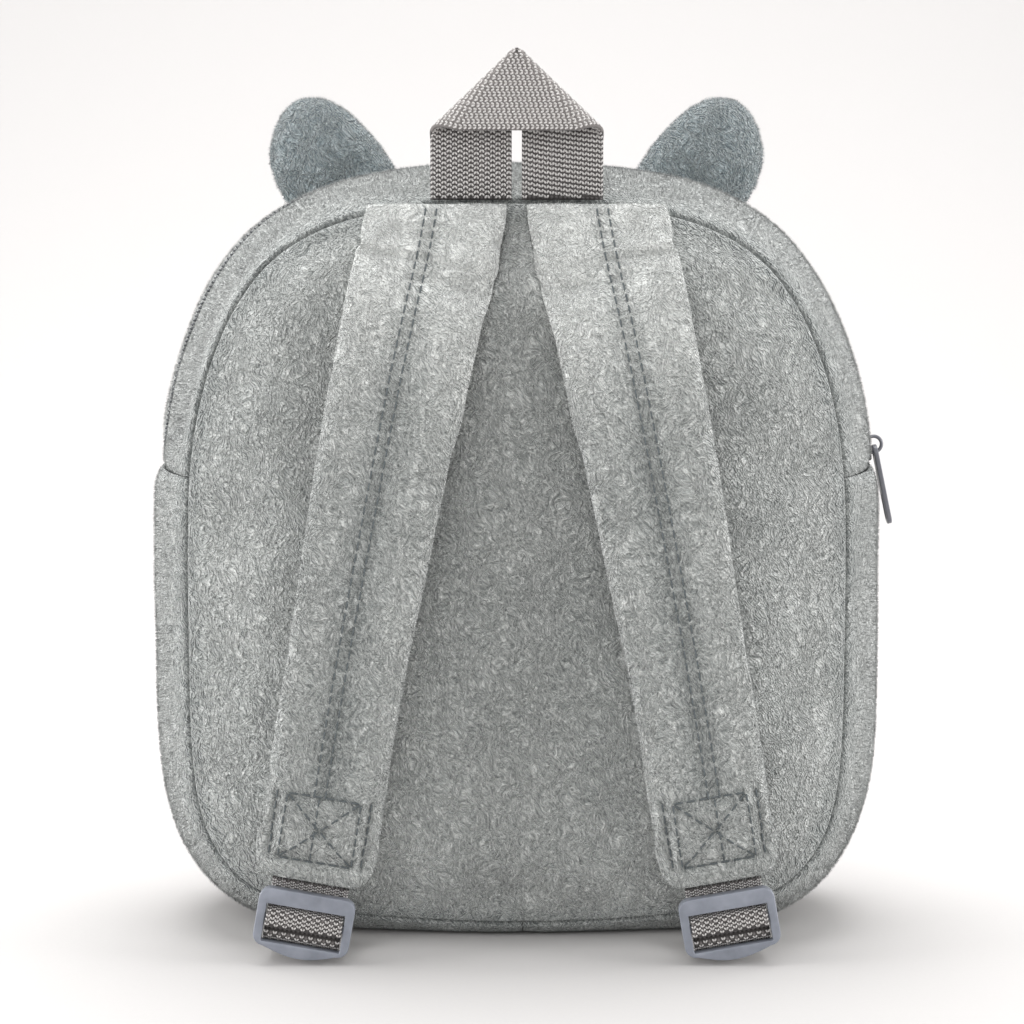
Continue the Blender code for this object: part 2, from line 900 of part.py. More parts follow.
def build_bag():
    clear_scene()
    plush = {}
    plush_nodes = (
        "back_panel", "front_panel", "gusset_zip_rear", "gusset_zip_front",
        "gusset_base_left", "gusset_base_right", "ear_left", "ear_right",
        "shoulder_strap_left", "shoulder_strap_right",
    )
    for node in plush_nodes:
        plush[node] = make_material(f"{node}_plush", (0.376, 0.402, 0.392), 0.95)
    build_panel("back_panel", -1, plush["back_panel"])
    build_panel("front_panel", 1, plush["front_panel"])

    start, end = zip_ends()
    middle = seam_depth / 2
    near = middle - zip_opening / 2
    far = middle + zip_opening / 2
    build_strip("gusset_zip_rear", start, end, crown_bulge, None, near,
                plush["gusset_zip_rear"])
    build_strip("gusset_zip_front", start, end, crown_bulge, far, None,
                plush["gusset_zip_front"])
    low_seam = base_seam_offset
    build_strip("gusset_base_right", low_seam + clearance / 2, start - clearance, side_bulge,
                None, None, plush["gusset_base_right"])
    build_strip("gusset_base_left", end + clearance, seam_run[-1] + low_seam - clearance / 2,
                side_bulge, None, None, plush["gusset_base_left"])

    tape = make_material("zipper_tape_fabric", (0.255, 0.262, 0.265), 0.85)
    teeth = make_material("zipper_teeth_nylon", (0.150, 0.155, 0.160), 0.45)
    metal = make_material("zipper_slider_painted", (0.160, 0.162, 0.172), 0.40)
    pull = make_material("zipper_pull_painted", (0.160, 0.162, 0.172), 0.40)
    below = -plush_wall - tape_seat
    build_zip_strip("zipper_tape", start + cross_seam_reach / 2, end - cross_seam_reach / 2,
                    tape_width / 2, below - tape_wall, below, tape)
    build_zip_strip("zipper_teeth", zip_slider_run() + slider_body_length / 2 + clearance,
                    end - cross_seam_reach / 2, teeth_width / 2,
                    below + 2 * clearance, teeth_stand, teeth)
    build_zipper_slider(metal)
    build_zipper_pull(pull)

    webbing = make_material("carry_handle_webbing", (0.270, 0.262, 0.258), 0.80)
    build_handle(webbing)
    for label, side in (("left", -1), ("right", 1)):
        build_ear(f"ear_{label}", side, plush[f"ear_{label}"])
        build_strap(f"shoulder_strap_{label}", side, plush[f"shoulder_strap_{label}"])
        band = make_material(f"strap_webbing_{label}_webbing", (0.270, 0.262, 0.258), 0.80)
        build_webbing(f"strap_webbing_{label}", side, band)
        plastic = make_material(f"strap_slider_{label}_plastic", (0.300, 0.315, 0.350), 0.45)
        build_ladder(f"strap_slider_{label}", side, plastic)


build_bag()
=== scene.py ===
import math

import bmesh
import bpy
import numpy as np
from mathutils import Matrix, Vector, noise
from mathutils.bvhtree import BVHTree


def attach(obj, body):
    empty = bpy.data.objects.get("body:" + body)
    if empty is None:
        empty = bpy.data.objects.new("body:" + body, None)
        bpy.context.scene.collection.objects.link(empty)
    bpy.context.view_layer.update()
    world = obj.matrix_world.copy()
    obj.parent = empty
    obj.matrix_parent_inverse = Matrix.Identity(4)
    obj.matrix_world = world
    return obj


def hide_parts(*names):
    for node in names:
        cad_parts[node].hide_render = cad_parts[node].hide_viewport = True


# A toddler's plush backpack seen from the wearer's side. Metres, +Z up, straps face -Y.
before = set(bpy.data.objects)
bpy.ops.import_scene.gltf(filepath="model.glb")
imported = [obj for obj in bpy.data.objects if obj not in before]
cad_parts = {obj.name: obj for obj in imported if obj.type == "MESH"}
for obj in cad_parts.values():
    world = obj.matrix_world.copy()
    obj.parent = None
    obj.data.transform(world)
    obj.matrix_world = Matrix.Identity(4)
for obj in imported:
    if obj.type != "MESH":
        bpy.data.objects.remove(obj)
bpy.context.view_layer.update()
scene = bpy.context.scene
print("frame loaded")


# Small tools

def toLinear(hexText):
    parts = [int(hexText[i:i + 2], 16) / 255 for i in (1, 3, 5)]
    return tuple(c / 12.92 if c <= 0.04045 else ((c + 0.055) / 1.055) ** 2.4 for c in parts) + (1.0,)


def addNode(tree, kind, settings=None, links=None):
    node = tree.nodes.new(kind)
    for key, value in (settings or {}).items():
        if isinstance(key, str) and hasattr(node, key):
            setattr(node, key, value)
        else:
            node.inputs[key].default_value = value
    for key, socket in (links or {}).items():
        tree.links.new(socket, node.inputs[key])
    return node


def newMaterial(name, settings):
    material = bpy.data.materials.new(name)
    material.use_nodes = True
    shader = material.node_tree.nodes["Principled BSDF"]
    for key, value in settings.items():
        shader.inputs[key].default_value = value
    return material, material.node_tree, shader


def rampBetween(tree, factor, stops):
    ramp = addNode(tree, "ShaderNodeValToRGB", None, {"Fac": factor})
    while len(ramp.color_ramp.elements) < len(stops):
        ramp.color_ramp.elements.new(0.5)
    for element, (place, colour) in zip(ramp.color_ramp.elements, stops):
        element.position = place
        element.color = toLinear(colour)
    return ramp.outputs["Color"]


def meshObject(name, points, faces, material):
    mesh = bpy.data.meshes.new(name)
    mesh.from_pydata([tuple(p) for p in points], [], faces)
    mesh.update()
    mesh.shade_smooth()
    if material:
        mesh.materials.append(material)
    thing = bpy.data.objects.new(name, mesh)
    scene.collection.objects.link(thing)
    return thing


def gridFaces(rows, columns, closed):
    faces = []
    for r in range(rows - 1):
        for c in range(columns if closed else columns - 1):
            a = r * columns + c
            b = r * columns + (c + 1) % columns
            faces.append((a, b, b + columns, a + columns))
    return faces


def tubeFaces(rows, columns):
    # a tube with a cap at each end
    last = (rows - 1) * columns
    return gridFaces(rows, columns, True) + [tuple(range(columns))[::-1], tuple(range(last, last + columns))]


def arc(centre, radius, start, end, steps):
    # points round a centre, from one angle to another in degrees
    return [(centre[0] + radius * math.cos(a), centre[1] + radius * math.sin(a))
            for a in np.radians(np.linspace(start, end, steps + 1))]


def lengthsAlong(points):
    # how far each point lies along the line through all of them
    return np.concatenate([[0], np.cumsum(np.linalg.norm(np.diff(points, axis=0), axis=1))])


def mirrored(place, side):
    return Vector((place.x * side, place.y, place.z))


def pointsOf(mesh):
    flat = np.zeros(len(mesh.vertices) * 3)
    mesh.vertices.foreach_get("co", flat)
    return flat.reshape(-1, 3)


def movePoints(mesh, points):
    mesh.vertices.foreach_set("co", np.asarray(points, dtype=np.float32).ravel())
    mesh.update()


def faceAway(thing, inside):
    # turns an open shell so that its faces look away from a point inside the bag
    total = sum((f.center - inside).dot(f.normal) * f.area for f in thing.data.polygons)
    if total < 0:
        thing.data.flip_normals()


def evenNormals(thing):
    bm = bmesh.new()
    bm.from_mesh(thing.data)
    bmesh.ops.recalc_face_normals(bm, faces=bm.faces[:])
    bm.to_mesh(thing.data)
    bm.free()
    return thing


def evaluatedMesh(thing):
    graph = bpy.context.evaluated_depsgraph_get()
    return bpy.data.meshes.new_from_object(thing.evaluated_get(graph),
                                           preserve_all_data_layers=True, depsgraph=graph)


def shapeWith(thing, kind, settings):
    # one modifier, made plain mesh at once
    step = thing.modifiers.new(kind.lower(), kind)
    for key, value in settings.items():
        setattr(step, key, value)
    plain = evaluatedMesh(thing)
    thing.modifiers.clear()
    thing.data = plain
    return thing


def thicken(thing, wall, offset=-1.0):
    return shapeWith(thing, "SOLIDIFY", {"thickness": wall, "offset": offset, "use_even_offset": True})


def bevelEdges(thing, width):
    return shapeWith(thing, "BEVEL", {"width": width, "segments": 3, "limit_method": "ANGLE",
                                      "angle_limit": math.radians(30)})


def dress(thing, node, body="bag", stands=True):
    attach(thing, body)
    if stands:
        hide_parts(node)


def softNoise(points, size, seed):
    # smooth noise, -1 to 1, with bumps of about a given size
    shift = Vector((seed * 3.1, seed * 1.7, seed * 5.3))
    return np.array([noise.noise(Vector(p) / size + shift) for p in points])


def smoothStep(value):
    value = np.clip(value, 0.0, 1.0)
    return value * value * (3 - 2 * value)


def curveThrough(points, closed, steps):
    # centripetal curve through given points
    count = len(points)
    path = []
    for span in range(count if closed else count - 1):
        corner = []
        for index in range(span - 1, span + 3):
            if closed:
                corner.append(points[index % count])
            elif index < 0:
                corner.append(points[0] * 2 - points[1])
            elif index >= count:
                corner.append(points[-1] * 2 - points[-2])
            else:
                corner.append(points[index])
        knot = [0.0]
        for first, second in zip(corner, corner[1:]):
            knot.append(knot[-1] + max((second - first).length, 1e-9) ** 0.5)
        for step in range(steps):
            t = knot[1] + (knot[2] - knot[1]) * step / steps
            line = [corner[k].lerp(corner[k + 1], (t - knot[k]) / (knot[k + 1] - knot[k]))
                    for k in range(3)]
            bend = [line[k].lerp(line[k + 1], (t - knot[k]) / (knot[k + 2] - knot[k]))
                    for k in range(2)]
            path.append(bend[0].lerp(bend[1], (t - knot[1]) / (knot[2] - knot[1])))
    if not closed:
        path.append(points[-1].copy())
    return path


stuffing = {"quality": 6, "mass": 0.25, "tension_stiffness": 12, "compression_stiffness": 12,
            "shear_stiffness": 4, "bending_stiffness": 0.6, "vertex_group_mass": "sewn",
            "use_pressure": True}
stuffingFrames = 20


def inflate(thing, sewn, pressure, cap, growth):
    # cloth stuffed from inside: sewn points stay, the rest may move no further than the cap
    before = pointsOf(thing.data)
    group = thing.vertex_groups.new(name="sewn")
    group.add([int(i) for i in sewn], 1.0, "REPLACE")
    cloth = thing.modifiers.new("stuffing", "CLOTH")
    for key, value in stuffing.items():
        setattr(cloth.settings, key, value)
    cloth.settings.uniform_pressure_force = pressure
    cloth.settings.shrink_min = -growth
    cloth.settings.effector_weights.gravity = 0.0
    cloth.point_cache.frame_start = 1
    cloth.point_cache.frame_end = stuffingFrames
    for number in range(1, stuffingFrames + 1):
        scene.frame_set(number)
    graph = bpy.context.evaluated_depsgraph_get()
    after = pointsOf(thing.evaluated_get(graph).data)
    thing.modifiers.remove(cloth)
    scene.frame_set(1)
    thing.vertex_groups.clear()
    move = after - before
    far = np.maximum(np.linalg.norm(move, axis=1), 1e-9)
    movePoints(thing.data, before + move * np.minimum(1.0, cap / far)[:, None])


# Geometry Nodes: pile that grows on a cloth, and stamps set at given places

def startTree(name, inputs):
    tree = bpy.data.node_groups.new(name, "GeometryNodeTree")
    tree.is_modifier = True
    for label, kind in inputs:
        tree.interface.new_socket(label, in_out="INPUT", socket_type=kind)
    tree.interface.new_socket("Geometry", in_out="OUTPUT", socket_type="NodeSocketGeometry")
    given = addNode(tree, "NodeGroupInput").outputs
    return tree, given


def endTree(tree, instances, material):
    real = addNode(tree, "GeometryNodeRealizeInstances", None, {"Geometry": instances})
    dressed = addNode(tree, "GeometryNodeSetMaterial", None,
                      {"Geometry": real.outputs[0], "Material": material})
    addNode(tree, "NodeGroupOutput", None, {"Geometry": dressed.outputs[0]})
    return tree


def makePileTree():
    tree, given = startTree("plush fuzz", [
        ("Geometry", "NodeSocketGeometry"), ("Density", "NodeSocketFloat"),
        ("Length", "NodeSocketFloat"), ("Width", "NodeSocketFloat"), ("Lean", "NodeSocketFloat"),
        ("Swirl", "NodeSocketFloat"), ("Seed", "NodeSocketInt"), ("Blade", "NodeSocketObject"),
        ("Material", "NodeSocketMaterial")])
    share = addNode(tree, "GeometryNodeInputNamedAttribute",
                    {"data_type": "FLOAT", "Name": "pileShare"})
    density = addNode(tree, "ShaderNodeMath", {"operation": "MULTIPLY"},
                      {0: given["Density"], 1: share.outputs[0]})
    spread = addNode(tree, "GeometryNodeDistributePointsOnFaces", {"distribute_method": "RANDOM"},
                     {"Mesh": given["Geometry"], "Density": density.outputs[0], "Seed": given["Seed"]})
    # a swirl leans the fibres over in soft locks, and each strays a little
    place = addNode(tree, "GeometryNodeInputPosition").outputs[0]
    rate = addNode(tree, "ShaderNodeMath", {"operation": "DIVIDE", 0: 1.0}, {1: given["Swirl"]})
    swirl = addNode(tree, "ShaderNodeTexNoise", {"Detail": 1.5},
                    {"Vector": place, "Scale": rate.outputs[0]})
    # noise colours lie about 0.5; a little more is taken off Z, so the pile lies downwards
    centred = addNode(tree, "ShaderNodeVectorMath", {"operation": "SUBTRACT", 1: (0.5, 0.5, 0.55)},
                      {0: swirl.outputs["Color"]})
    lean = addNode(tree, "ShaderNodeVectorMath", {"operation": "SCALE"},
                   {0: centred.outputs[0], "Scale": given["Lean"]})
    loose = addNode(tree, "FunctionNodeRandomValue",
                    {"data_type": "FLOAT_VECTOR", 0: (-0.35, -0.35, -0.35), 1: (0.35, 0.35, 0.35)},
                    {"Seed": given["Seed"]})
    bent = addNode(tree, "ShaderNodeVectorMath", {"operation": "ADD"},
                   {0: lean.outputs[0], 1: loose.outputs[0]})
    normal = spread.outputs["Normal"]
    way = addNode(tree, "ShaderNodeVectorMath", {"operation": "ADD"}, {0: bent.outputs[0], 1: normal})
    # the fibres are lit as the cloth under them is
    kept = addNode(tree, "GeometryNodeStoreNamedAttribute",
                   {"data_type": "FLOAT_VECTOR", "domain": "POINT", "Name": "pileNormal"},
                   {"Geometry": spread.outputs["Points"], "Value": normal})
    spin = addNode(tree, "FunctionNodeRandomValue",
                   {"data_type": "FLOAT_VECTOR", 0: (0.0, 0.0, 0.0), 1: (0.0, 0.0, 2 * math.pi)},
                   {"Seed": given["Seed"]})
    turned = addNode(tree, "FunctionNodeEulerToRotation", None, {0: spin.outputs[0]})
    aimed = addNode(tree, "FunctionNodeAlignRotationToVector", {"axis": "Z"},
                    {"Rotation": turned.outputs[0], "Vector": way.outputs[0]})
    size = addNode(tree, "FunctionNodeRandomValue", {"data_type": "FLOAT", 2: 0.55, 3: 1.2},
                   {"Seed": given["Seed"]})
    long = addNode(tree, "ShaderNodeMath", {"operation": "MULTIPLY"},
                   {0: size.outputs[1], 1: given["Length"]})
    # where little pile stands it is also shorter
    cropped = addNode(tree, "ShaderNodeMath", {"operation": "MULTIPLY_ADD", 1: 0.6, 2: 0.4},
                      {0: share.outputs[0]})
    tall = addNode(tree, "ShaderNodeMath", {"operation": "MULTIPLY"},
                   {0: long.outputs[0], 1: cropped.outputs[0]})
    shape = addNode(tree, "ShaderNodeCombineXYZ", None,
                    {0: given["Width"], 1: given["Width"], 2: tall.outputs[0]})
    blade = addNode(tree, "GeometryNodeObjectInfo", None, {"Object": given["Blade"]})
    grown = addNode(tree, "GeometryNodeInstanceOnPoints", None,
                    {"Points": kept.outputs[0], "Instance": blade.outputs["Geometry"],
                     "Rotation": aimed.outputs[0], "Scale": shape.outputs[0]})
    return endTree(tree, grown.outputs[0], given["Material"])


def makeStampTree():
    tree, given = startTree("stamps", [
        ("Geometry", "NodeSocketGeometry"), ("Stamp", "NodeSocketObject"),
        ("Material", "NodeSocketMaterial")])
    turn = addNode(tree, "GeometryNodeInputNamedAttribute",
                   {"data_type": "FLOAT_VECTOR", "Name": "turn"})
    stretch = addNode(tree, "GeometryNodeInputNamedAttribute",
                      {"data_type": "FLOAT_VECTOR", "Name": "stretch"})
    turned = addNode(tree, "FunctionNodeEulerToRotation", None, {0: turn.outputs[0]})
    stamp = addNode(tree, "GeometryNodeObjectInfo", None, {"Object": given["Stamp"]})
    placed = addNode(tree, "GeometryNodeInstanceOnPoints", None,
                     {"Points": given["Geometry"], "Instance": stamp.outputs["Geometry"],
                      "Rotation": turned.outputs[0], "Scale": stretch.outputs[0]})
    return endTree(tree, placed.outputs[0], given["Material"])


def runTree(thing, tree, values):
    step = thing.modifiers.new(tree.name, "NODES")
    step.node_group = tree
    for item in tree.interface.items_tree:
        if item.in_out == "INPUT" and item.name in values:
            step[item.identifier] = values[item.name]
    plain = evaluatedMesh(thing)
    thing.modifiers.remove(step)
    return plain


pileTree = makePileTree()
stampTree = makeStampTree()


def setStamps(name, places, stamp, material):
    # places: (point, side, up, along, stretch); the stamp's own Z lies along
    thing = meshObject(name, [p[0] for p in places], [], None)
    turn = thing.data.attributes.new("turn", "FLOAT_VECTOR", "POINT")
    stretch = thing.data.attributes.new("stretch", "FLOAT_VECTOR", "POINT")
    for i, (point, side, up, along, scale) in enumerate(places):
        turn.data[i].vector = Matrix((side, up, along)).transposed().to_euler()
        stretch.data[i].vector = scale
    thing.data = runTree(thing, stampTree, {"Stamp": stamp, "Material": material})
    thing.data.name = name
    thing.data.shade_smooth()
    return thing


def yarnStamp(name, sides, profile):
    # spindle along Z, one unit long and wide: (share along, share of the radius)
    points = [(0.0, 0.0, -0.5)]
    for along, wide in profile:
        points += [(a, b, along - 0.5) for a, b in arc((0, 0), 0.5 * wide, 0, 360, sides)[:-1]]
    points.append((0.0, 0.0, 0.5))
    last = len(points) - 1
    faces = []
    for k in range(sides):
        j = (k + 1) % sides
        faces.append((0, 1 + j, 1 + k))
        for ring in range(1, last - sides, sides):
            faces.append((ring + k, ring + j, ring + sides + j, ring + sides + k))
        faces.append((last - sides + k, last - sides + j, last))
    return meshObject(name, points, faces, None)


# Materials

# Polyester plush: a short brushed pile in small tufts that turn about, with fine crevices between
# them. It is dull from the front and paler where it is seen edge on.
plushLook = {"lockPitch": 0.0014, "lockTwist": 9.0, "tuftSize": 0.00098, "tuftLength": 1.9,
             "warpRate": 105.0, "warpReach": 0.0105, "relief": 0.0026, "patchSize": 0.030}
# colours from the crevices to the crowns of the tufts: the crevice end is painted shade, the crown end
# painted highlight
plushColours = {"shadedCrevice": "#737877", "middle": "#B8BBB9", "crown": "#ECEEEB"}
earColours = {"shadedCrevice": "#616C72", "middle": "#96A2A6", "crown": "#CCD5D8"}


def endMaterial(tree, shader, colour, height, strength, distance):
    bump = addNode(tree, "ShaderNodeBump", {"Strength": strength, "Distance": distance}, {"Height": height})
    tree.links.new(colour, shader.inputs["Base Color"])
    tree.links.new(bump.outputs[0], shader.inputs["Normal"])


def plushRelief(tree, coords):
    # short tufts, about twice as long as wide, turned about by a slow warp of the cloth
    warp = addNode(tree, "ShaderNodeTexNoise", {"Scale": plushLook["warpRate"], "Detail": 1.0},
                   {"Vector": coords})
    turned = addNode(tree, "ShaderNodeVectorMath",
                     {"operation": "MULTIPLY_ADD", 1: (plushLook["warpReach"],) * 3},
                     {0: warp.outputs["Color"], 2: coords})
    longer = addNode(tree, "ShaderNodeVectorMath",
                     {"operation": "MULTIPLY", 1: (1.0, 1.0, 1 / plushLook["tuftLength"])},
                     {0: turned.outputs[0]})
    tufts = addNode(tree, "ShaderNodeTexNoise",
                    {"Scale": 1 / plushLook["tuftSize"], "Detail": 1.0, "Distortion": 0.9},
                    {"Vector": longer.outputs[0]})
    # faint rows of locks, twisted until they wind
    rows = addNode(tree, "ShaderNodeTexWave", {
        "bands_direction": "DIAGONAL", "wave_profile": "SIN", "Scale": 0.628 / plushLook["lockPitch"],
        "Distortion": plushLook["lockTwist"], "Detail": 1.0, "Detail Scale": 0.9,
        "Detail Roughness": 0.6}, {"Vector": coords})
    soft = addNode(tree, "ShaderNodeMath", {"operation": "MULTIPLY_ADD", 1: 0.16, 2: -0.12},
                   {0: rows.outputs["Fac"]})
    return addNode(tree, "ShaderNodeMath", {"operation": "MULTIPLY_ADD", 1: 1.45},
                   {0: tufts.outputs["Fac"], 2: soft.outputs[0]}).outputs[0]


def plushColour(tree, coords, relief, colours):
    # broad brushed patches of random tone; painted shade where little pile stands (seams, cross seams, near
    # the floor, under the zip pull, the strap's sewn lines and hidden side); painted highlight from the
    # second attribute, towards the strap tops
    patch = addNode(tree, "ShaderNodeTexNoise", {"Scale": 1 / plushLook["patchSize"], "Detail": 2.0},
                    {"Vector": coords})
    # the pile share also darkens the colour: painted shade
    sewn = addNode(tree, "ShaderNodeAttribute", {"attribute_name": "pileShare"})
    # painted highlight, set towards the strap tops
    paintedHighlight = addNode(tree, "ShaderNodeAttribute", {"attribute_name": "pileHighlight"})
    # the colour follows the relief: painted shade in the crevices between the tufts, painted highlight on
    # their crowns
    level = addNode(tree, "ShaderNodeMath", {"operation": "MULTIPLY_ADD", 1: 0.76, 2: -0.27},
                    {0: relief})
    for amount, source in ((0.26, patch.outputs["Fac"]), (0.30, sewn.outputs["Fac"]),
                           (0.40, paintedHighlight.outputs["Fac"])):
        level = addNode(tree, "ShaderNodeMath", {"operation": "MULTIPLY_ADD", 1: amount},
                        {0: source, 2: level.outputs[0]})
    return rampBetween(tree, level.outputs[0], [(0.28, colours["shadedCrevice"]), (0.66, colours["middle"]),
                                                (1.0, colours["crown"])])


def plushCloth(name, colours):
    material, tree, shader = newMaterial(name, {
        "Roughness": 0.92, "Specular IOR Level": 0.1, "Sheen Weight": 0.85, "Sheen Roughness": 0.40,
        "Sheen Tint": (0.95, 0.97, 0.96, 1.0)})
    coords = addNode(tree, "ShaderNodeTexCoord").outputs["Object"]
    relief = plushRelief(tree, coords)
    fibre = addNode(tree, "ShaderNodeTexNoise", {"Scale": 2600.0, "Detail": 2.0}, {"Vector": coords})
    height = addNode(tree, "ShaderNodeMath", {"operation": "MULTIPLY_ADD", 1: 0.22},
                     {0: fibre.outputs["Fac"], 2: relief})
    endMaterial(tree, shader, plushColour(tree, coords, relief, colours), height.outputs[0],
                1.0, plushLook["relief"])
    return material


def plushFuzz(name, colours):
    # single fibres that stand out of the pile and blur its outline, lit as the cloth under them
    material, tree, shader = newMaterial(name, {
        "Roughness": 0.95, "Specular IOR Level": 0.05, "Sheen Weight": 0.3, "Sheen Roughness": 0.5})
    coords = addNode(tree, "ShaderNodeTexCoord").outputs["Object"]
    tree.links.new(plushColour(tree, coords, plushRelief(tree, coords), colours),
                   shader.inputs["Base Color"])
    upright = addNode(tree, "ShaderNodeAttribute", {"attribute_name": "pileNormal"})
    tree.links.new(upright.outputs["Vector"], shader.inputs["Normal"])
    return material


def plainYarn(name, dark, light, scale, roughness):
    # filament yarn: fine lengthwise streaks, a dull satin sheen
    material, tree, shader = newMaterial(name, {
        "Roughness": roughness, "Specular IOR Level": 0.4, "Sheen Weight": 0.1, "Sheen Roughness": 0.4})
    coords = addNode(tree, "ShaderNodeTexCoord").outputs["Object"]
    streak = addNode(tree, "ShaderNodeTexNoise", {"Scale": scale, "Detail": 2.0}, {"Vector": coords})
    colour = rampBetween(tree, streak.outputs["Fac"], [(0.3, dark), (0.7, light)])
    endMaterial(tree, shader, colour, streak.outputs["Fac"], 0.3, 0.0001)
    return material


def ribbedCloth(name, dark, light, pitch, depth, roughness):
    # woven tape: ribs across its length, read from the UV map; pitch and map are in millimetres
    material, tree, shader = newMaterial(name, {
        "Roughness": roughness, "Specular IOR Level": 0.3, "Sheen Weight": 0.12, "Sheen Roughness": 0.45})
    cloth = addNode(tree, "ShaderNodeUVMap", {"uv_map": "cloth"})
    rate = 2 * math.pi / pitch / 20  # the wave node turns 20 radians in one unit at scale 1
    ribs = addNode(tree, "ShaderNodeTexWave",
                   {"wave_type": "BANDS", "bands_direction": "Y", "Scale": rate, "Distortion": 0.6,
                    "Detail": 1.0}, {"Vector": cloth.outputs[0]})
    cross = addNode(tree, "ShaderNodeTexWave",
                    {"wave_type": "BANDS", "bands_direction": "X", "Scale": rate, "Distortion": 0.4},
                    {"Vector": cloth.outputs[0]})
    relief = addNode(tree, "ShaderNodeMath", {"operation": "MULTIPLY"},
                     {0: ribs.outputs["Fac"], 1: cross.outputs["Fac"]})
    colour = rampBetween(tree, relief.outputs[0], [(0.05, dark), (0.7, light)])
    endMaterial(tree, shader, colour, relief.outputs[0], 0.8, depth)
    return material


def mouldedPlastic(name, dark, light, roughness):
    # injection moulded acetal: satin, faint spark-eroded grain, a little wear in its colour
    material, tree, shader = newMaterial(name, {"Roughness": roughness, "IOR": 1.48})
    coords = addNode(tree, "ShaderNodeTexCoord").outputs["Object"]
    grain = addNode(tree, "ShaderNodeTexNoise", {"Scale": 3200.0, "Detail": 2.0}, {"Vector": coords})
    cloud = addNode(tree, "ShaderNodeTexNoise", {"Scale": 160.0, "Detail": 3.0}, {"Vector": coords})
    colour = rampBetween(tree, cloud.outputs["Fac"], [(0.3, dark), (0.7, light)])
    endMaterial(tree, shader, colour, grain.outputs["Fac"], 0.12, 0.0001)
    return material


def paintedZinc(name, dark, light):
    # die-cast zinc under baked paint: semi-gloss, slight orange peel, edges rubbed lighter
    material, tree, shader = newMaterial(name, {"Roughness": 0.38, "IOR": 1.5, "Coat Weight": 0.2,
                                                "Coat Roughness": 0.25})
    coords = addNode(tree, "ShaderNodeTexCoord").outputs["Object"]
    peel = addNode(tree, "ShaderNodeTexNoise", {"Scale": 1500.0, "Detail": 2.0}, {"Vector": coords})
    bent = addNode(tree, "ShaderNodeNewGeometry").outputs["Pointiness"]
    endMaterial(tree, shader, rampBetween(tree, bent, [(0.48, dark), (0.60, light)]),
                peel.outputs["Fac"], 0.1, 0.0001)
    return material


clothFinish = plushCloth("brushed polyester plush", plushColours)
fuzzFinish = plushFuzz("polyester plush fibres", plushColours)
earClothFinish = plushCloth("brushed polyester plush, ears", earColours)
earFuzzFinish = plushFuzz("polyester plush fibres, ears", earColours)
threadFinish = plainYarn("grey polyester thread", "#454B4D", "#595F61", 2400.0, 0.6)
yarnFinish = plainYarn("polypropylene webbing yarn", "#A3A09E", "#CBC8C6", 2600.0, 0.5)
# the ground is darker than the yarns: painted shade in the gaps between them
webbingFinish = ribbedCloth("polypropylene webbing ground", "#423F3E", "#686463", 1.4, 0.0003, 0.75)
# paler copies for the outer face of the handle's fold: painted highlight where it catches the light
litFoldYarnFinish = plainYarn("polypropylene webbing yarn, painted highlight", "#CECBC8", "#F0EDEB", 2600.0, 0.5)
litFoldWebbingFinish = ribbedCloth("polypropylene webbing ground, painted highlight", "#6E6A68", "#8E8A87",
                                1.4, 0.0003, 0.75)
tapeFinish = ribbedCloth("woven polyester zip tape", "#55585A", "#7F8385", 0.9, 0.0002, 0.8)
coilFinish = plainYarn("nylon zip coil", "#3C3F42", "#55595C", 1800.0, 0.4)
acetalFinish = mouldedPlastic("moulded acetal, blue grey", "#70747D", "#858993", 0.42)
zincFinish = paintedZinc("painted zinc, dark grey", "#505157", "#6E6F76")
print("materials ready")


# Fuzz

fuzzLook = {"length": 0.00115, "width": 0.00015, "lean": 1.5, "swirl": 0.0034, "seed": 7}
blade = meshObject("blade", [(-0.5, 0, 0), (0.5, 0, 0), (0, 0, 1)], [(0, 1, 2)], None)


def growPile(cloth, node, share, count, finish=fuzzFinish, paintedHighlight=0.0):
    # share: how much pile stands at each point, 0 to 1; the last value is a painted highlight, 0 to 1, the
    # cloth paler where it is set
    paintedHighlights = cloth.data.attributes.new("pileHighlight", "FLOAT", "POINT")
    paintedHighlights.data.foreach_set("value", np.broadcast_to(paintedHighlight, len(cloth.data.vertices)).astype(np.float32))
    shares = cloth.data.attributes.new("pileShare", "FLOAT", "POINT")
    shares.data.foreach_set("value", np.asarray(share, dtype=np.float32))
    area = sum(f.area for f in cloth.data.polygons)
    values = {label.capitalize(): value for label, value in fuzzLook.items()}
    mesh = runTree(cloth, pileTree, dict(values, Density=count / area, Blade=blade, Material=finish))
    mesh.name = f"{node}_pile"
    pile = bpy.data.objects.new(f"{node}_pile", mesh)
    scene.collection.objects.link(pile)
    dress(pile, node, stands=False)


# The bag's seams

bagSize = {"width": 0.211, "height": 0.2320, "lift": 0.005, "depth": 0.078, "sideBulge": 0.0136,
           "crownBulge": 0.0122, "panelBulge": 0.0092, "wall": 0.0020, "seamRadius": 0.0025,
           "foldRadius": 0.0017, "gap": 0.0003, "crossSeam": 0.149, "crossReach": 0.007,
           "crossDip": 0.0014, "baseShift": 0.0020}
puckerLook = {"pitch": 0.0092, "height": 0.0009, "fade": 0.0055, "start": 0.0022}
outlineShares = [
    (0.000, 0.000), (0.300, 0.005), (0.560, 0.016), (0.740, 0.034), (0.860, 0.068), (0.935, 0.115),
    (0.975, 0.170), (0.995, 0.250), (1.000, 0.380), (1.000, 0.520), (0.993, 0.620), (0.968, 0.705),
    (0.920, 0.785), (0.840, 0.863), (0.725, 0.926), (0.560, 0.969), (0.340, 0.992), (0.000, 1.000)]
halfOutline = [Vector((a * bagSize["width"] / 2, 0, bagSize["lift"] + b * bagSize["height"]))
               for a, b in outlineShares]
